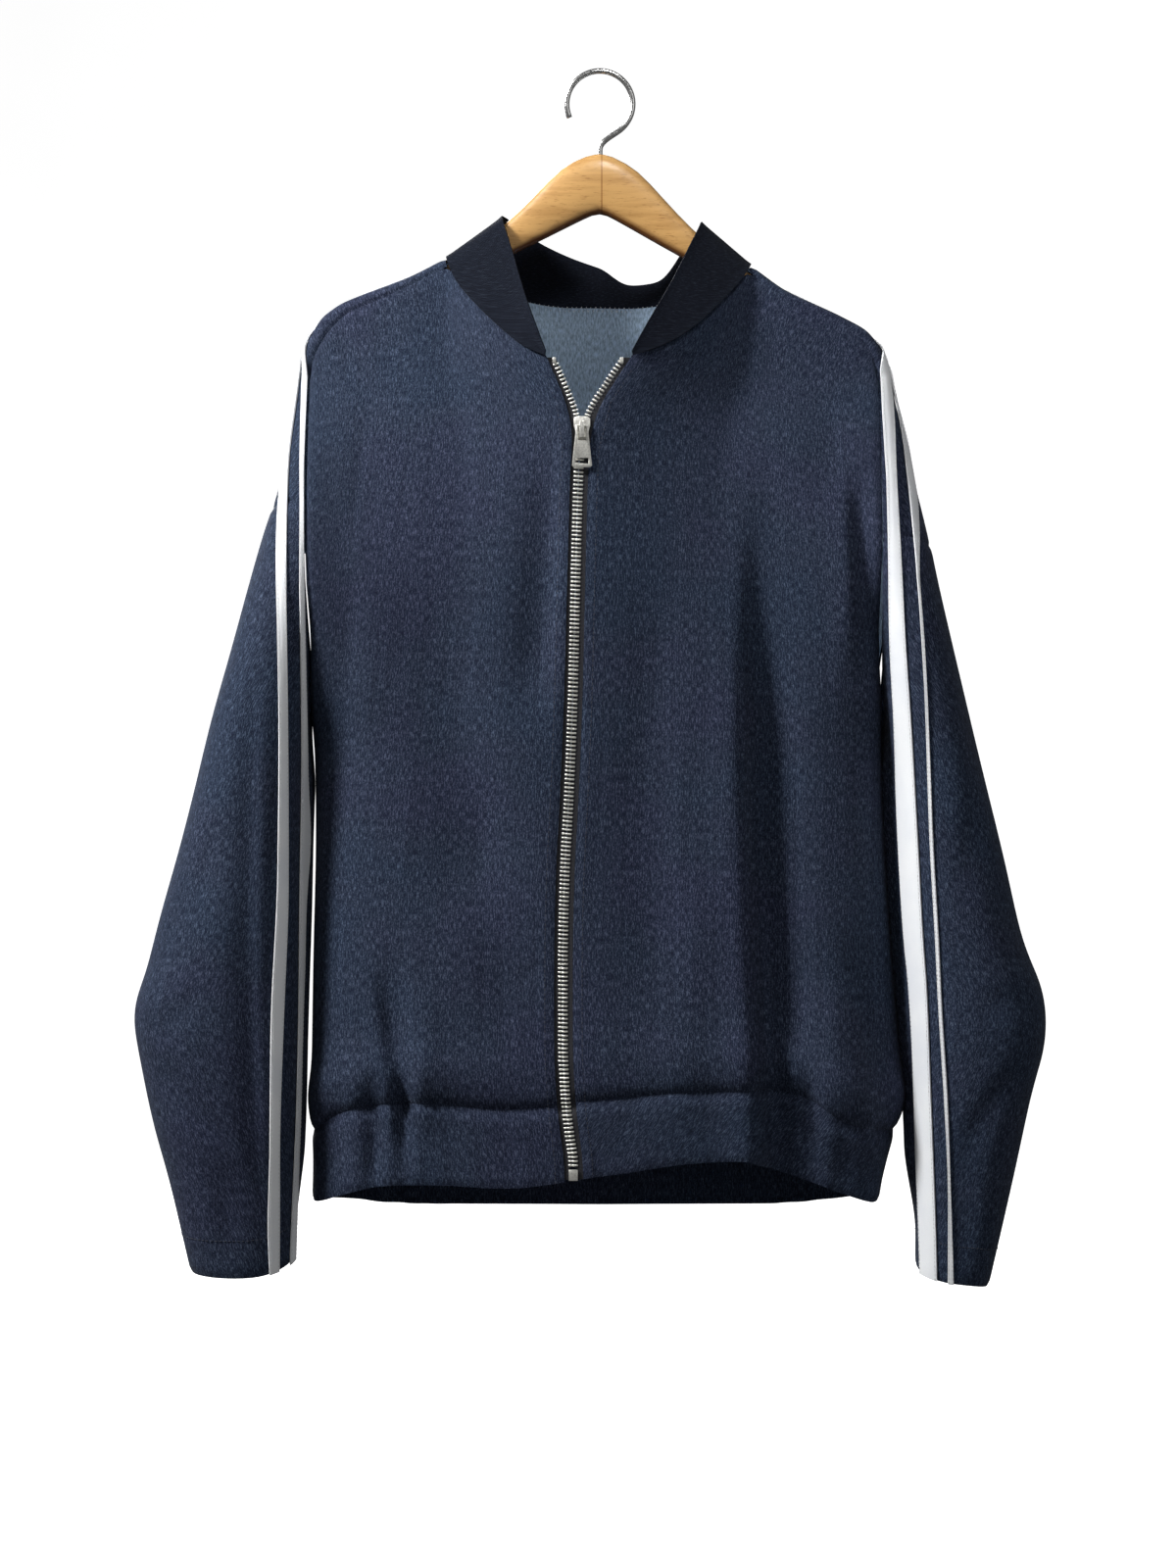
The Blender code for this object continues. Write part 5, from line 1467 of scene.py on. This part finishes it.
def build_sweep():
    """A pale floor that curves up into walls and a ceiling, round every camera."""
    corner = np.linspace(0.0, math.pi / 2, 13)
    bend = [(SWEEP_RADIUS - SWEEP_BEND * (1.0 - math.sin(a)),
             FLOOR_Z + SWEEP_BEND * (1.0 - math.cos(a))) for a in corner]
    turn = np.linspace(0.0, 2.0 * math.pi, SWEEP_SIDES, endpoint=False)
    bm = bmesh.new()
    rings = [[bm.verts.new((radius * math.cos(a), radius * math.sin(a), z)) for a in turn]
             for radius, z in [(0.5, FLOOR_Z), *bend, (SWEEP_RADIUS, 5.0), (0.5, 8.0)]]
    for low, high in zip(rings, rings[1:]):
        for k in range(SWEEP_SIDES):
            bm.faces.new((low[k - 1], low[k], high[k], high[k - 1]))
    bm.faces.new(rings[0])
    bm.faces.new(rings[-1][::-1])
    bmesh.ops.recalc_face_normals(bm, faces=bm.faces)
    bmesh.ops.reverse_faces(bm, faces=bm.faces)
    mesh = bpy.data.meshes.new("studio_sweep")
    bm.to_mesh(mesh)
    bm.free()
    mesh.shade_smooth()
    shade = Shader("studio_floor")
    tone = shade.noise(shade.object_coords(1.0, 1.0, 1.0), 3.0, 2.0, 0.5)
    pale = shade.ramp(tone, (0.3, (0.86, 0.86, 0.86)), (0.7, (0.9, 0.9, 0.9)))
    mesh.materials.append(shade.finish(Base_Color=pale, Roughness=0.9,
                                       Emission_Color=(1.0, 1.0, 1.0, 1.0),
                                       Emission_Strength=0.8))
    sweep = linked("studio_sweep", mesh)
    sweep.visible_shadow = sweep.visible_diffuse = sweep.visible_glossy = False


def linked(name, data, place=(0.0, 0.0, 0.0), aim=None):
    """A new object of the stage, turned to look at a point where one is given."""
    obj = bpy.data.objects.new(name, data)
    bpy.context.scene.collection.objects.link(obj)
    obj.location = place
    if aim is not None:
        way = Vector(aim) - Vector(place)
        obj.rotation_euler = way.to_track_quat("-Z", "Y").to_euler()
    return obj


def build_lights():
    """A dim pale world, a sun and soft lamps."""
    world = bpy.data.worlds.new("studio")
    world.use_nodes = True
    sky = world.node_tree.nodes["Background"].inputs
    sky["Color"].default_value = (1.0, 1.0, 1.0, 1.0)
    sky["Strength"].default_value = WORLD_STRENGTH
    bpy.context.scene.world = world
    bpy.context.scene.view_settings.view_transform = "Standard"
    sun = bpy.data.lights.new("sun", "SUN")
    sun.energy = SUN_POWER
    sun.angle = math.radians(9.0)
    linked("sun", sun, SUN_PLACE, (0.0, 0.0, 0.0))
    for name, place, aim, size, power in LAMPS:
        lamp = bpy.data.lights.new(name, "AREA")
        lamp.shape = "RECTANGLE"
        lamp.size = lamp.size_y = size
        lamp.energy = power
        linked(name, lamp, place, aim)


def build_camera():
    """The photograph's view: level, from the front."""
    lens = bpy.data.cameras.new("front_camera")
    lens.sensor_width = SENSOR
    lens.lens = SENSOR / 2 * CAMERA_BACK / VIEW_HALF
    camera = linked("front_camera", lens, (AIM[0], -CAMERA_BACK, AIM[2]))
    camera.rotation_euler = (math.pi / 2, 0.0, 0.0)
    bpy.context.scene.camera = camera


class JACKET_OT_fronts(bpy.types.Operator):
    """Build both front panels"""

    bl_idname = "jacket.fronts"
    bl_label = "Fronts"
    bl_options = {"REGISTER", "UNDO"}

    def execute(self, context):
        for name, side in SIDES:
            denim_piece("front_" + name, [front_grid(side)], "body")
        return {"FINISHED"}


class JACKET_OT_back(bpy.types.Operator):
    """Build the back panel with its fold-overs"""

    bl_idname = "jacket.back"
    bl_label = "Back"
    bl_options = {"REGISTER", "UNDO"}

    def execute(self, context):
        denim_piece("back", back_grids(), "body")
        return {"FINISHED"}


class JACKET_OT_sleeves(bpy.types.Operator):
    """Build both sleeves"""

    bl_idname = "jacket.sleeves"
    bl_label = "Sleeves"
    bl_options = {"REGISTER", "UNDO"}

    def execute(self, context):
        for name, side in SIDES:
            denim_piece("sleeve_" + name, [sleeve_grid(side)], "arm")
        return {"FINISHED"}


class JACKET_OT_collar(bpy.types.Operator):
    """Build the stand collar"""

    bl_idname = "jacket.collar"
    bl_label = "Collar"
    bl_options = {"REGISTER", "UNDO"}

    def execute(self, context):
        denim_piece("collar", [collar_grid()], "collar", ("collar",), roll=0.3)
        return {"FINISHED"}


class JACKET_OT_band(bpy.types.Operator):
    """Build the hem band"""

    bl_idname = "jacket.band"
    bl_label = "Hem Band"
    bl_options = {"REGISTER", "UNDO"}

    def execute(self, context):
        denim_piece("hem_band", [band_grid()], "body", ("denim",))
        return {"FINISHED"}


class JACKET_OT_stripes(bpy.types.Operator):
    """Build the four sleeve stripes"""

    bl_idname = "jacket.stripes"
    bl_label = "Sleeve Stripes"
    bl_options = {"REGISTER", "UNDO"}

    def execute(self, context):
        for name, (side, rows) in STRIPES.items():
            obj = cloth_piece("stripe_" + name + "_ribbon", [stripe_grid(name, side, rows)], "arm",
                              looks().ribbon_thick, ("ribbon",), roll=0.25)
            declare(obj, "stripe_" + name)
        return {"FINISHED"}


class JACKET_OT_tapes(bpy.types.Operator):
    """Build both zip tapes"""

    bl_idname = "jacket.tapes"
    bl_label = "Zip Tapes"
    bl_options = {"REGISTER", "UNDO"}

    def execute(self, context):
        for name, side in SIDES:
            rows = tape_rows(side)
            obj = cloth_piece("zip_tape_" + name + "_cloth",
                              [facing_out(rows, grid_uv(rows), side < 0)], "body", TAPE * MM,
                              ("tape",), levels=1, roll=0.0)
            declare(obj, "zip_tape_" + name)
        return {"FINISHED"}


class JACKET_OT_teeth(bpy.types.Operator):
    """Build both rows of zip teeth"""

    bl_idname = "jacket.teeth"
    bl_label = "Zip Teeth"
    bl_options = {"REGISTER", "UNDO"}

    def execute(self, context):
        for name, side in SIDES:
            stamped("zip_teeth_" + name, tooth_shape(), tooth_frames(side), "nickel")
        return {"FINISHED"}


class JACKET_OT_hardware(bpy.types.Operator):
    """Build the zip's slider, pull tab, box and stops"""

    bl_idname = "jacket.hardware"
    bl_label = "Zip Hardware"
    bl_options = {"REGISTER", "UNDO"}

    def execute(self, context):
        for node in ("zip_slider", "zip_pull", "zip_box", "zip_stop_right", "zip_stop_left"):
            body = "pull_tab" if node == "zip_pull" else "jacket"
            dressed(node, "nickel", body, METAL_ROUND)
        return {"FINISHED"}


class JACKET_OT_stitching(bpy.types.Operator):
    """Build the navy topstitching of the fronts and cuffs"""

    bl_idname = "jacket.stitching"
    bl_label = "Topstitching"
    bl_options = {"REGISTER", "UNDO"}

    def execute(self, context):
        frames = []
        for side in (1, -1):
            frames += front_stitches(side) + cuff_stitches(side)
        stamped("navy_topstitching", stitch_shape(), frames, "navy_thread")
        return {"FINISHED"}


class JACKET_OT_stripe_stitching(bpy.types.Operator):
    """Build the white stitches along the stripes"""

    bl_idname = "jacket.stripe_stitching"
    bl_label = "Stripe Stitching"
    bl_options = {"REGISTER", "UNDO"}

    def execute(self, context):
        frames = []
        for name, (side, rows) in STRIPES.items():
            frames += stripe_stitches(name, side, rows)
        stamped("white_stripe_stitching", stitch_shape(), frames, "white_thread")
        return {"FINISHED"}


class JACKET_OT_overlock(bpy.types.Operator):
    """Build the looped edging inside the neck"""

    bl_idname = "jacket.overlock"
    bl_label = "Neck Overlock"
    bl_options = {"REGISTER", "UNDO"}

    def execute(self, context):
        for name, frames in zip(("white", "navy"), overlock_frames()):
            stamped("overlock_" + name, stitch_shape(), frames, name + "_thread")
        return {"FINISHED"}


class JACKET_OT_hanger(bpy.types.Operator):
    """Build the wooden hanger and its hook"""

    bl_idname = "jacket.hanger"
    bl_label = "Hanger"
    bl_options = {"REGISTER", "UNDO"}

    def execute(self, context):
        dressed("hanger_wood", "beech")
        dressed("hanger_hook", "steel")
        return {"FINISHED"}


class JACKET_OT_stage(bpy.types.Operator):
    """Build the pale sweep, the lights and the camera"""

    bl_idname = "jacket.stage"
    bl_label = "Stage"
    bl_options = {"REGISTER", "UNDO"}

    def execute(self, context):
        build_sweep()
        build_lights()
        build_camera()
        return {"FINISHED"}


OPERATORS = (
    JACKET_OT_fronts, JACKET_OT_back, JACKET_OT_sleeves, JACKET_OT_collar, JACKET_OT_band,
    JACKET_OT_stripes, JACKET_OT_tapes, JACKET_OT_teeth, JACKET_OT_hardware, JACKET_OT_stitching,
    JACKET_OT_stripe_stitching, JACKET_OT_overlock, JACKET_OT_hanger, JACKET_OT_stage,
)


class JACKET_PT_panel(bpy.types.Panel):
    """The jacket's settings and its builders"""

    bl_idname = "JACKET_PT_panel"
    bl_label = "Denim Bomber Jacket"
    bl_space_type = "VIEW_3D"
    bl_region_type = "UI"
    bl_category = "Jacket"

    def draw(self, context):
        settings = context.scene.jacket_looks
        for name in JacketLooks.__annotations__:
            self.layout.prop(settings, name)
        for operator in OPERATORS:
            self.layout.operator(operator.bl_idname)


CLASSES = (JacketLooks, *OPERATORS, JACKET_PT_panel)


def register():
    for made in CLASSES:
        bpy.utils.register_class(made)
    bpy.types.Scene.jacket_looks = bpy.props.PointerProperty(type=JacketLooks)


def unregister():
    del bpy.types.Scene.jacket_looks
    for made in reversed(CLASSES):
        bpy.utils.unregister_class(made)


def main():
    register()
    for operator in OPERATORS:
        group, name = operator.bl_idname.split(".")
        getattr(getattr(bpy.ops, group), name)()


if __name__ == "__main__":
    main()
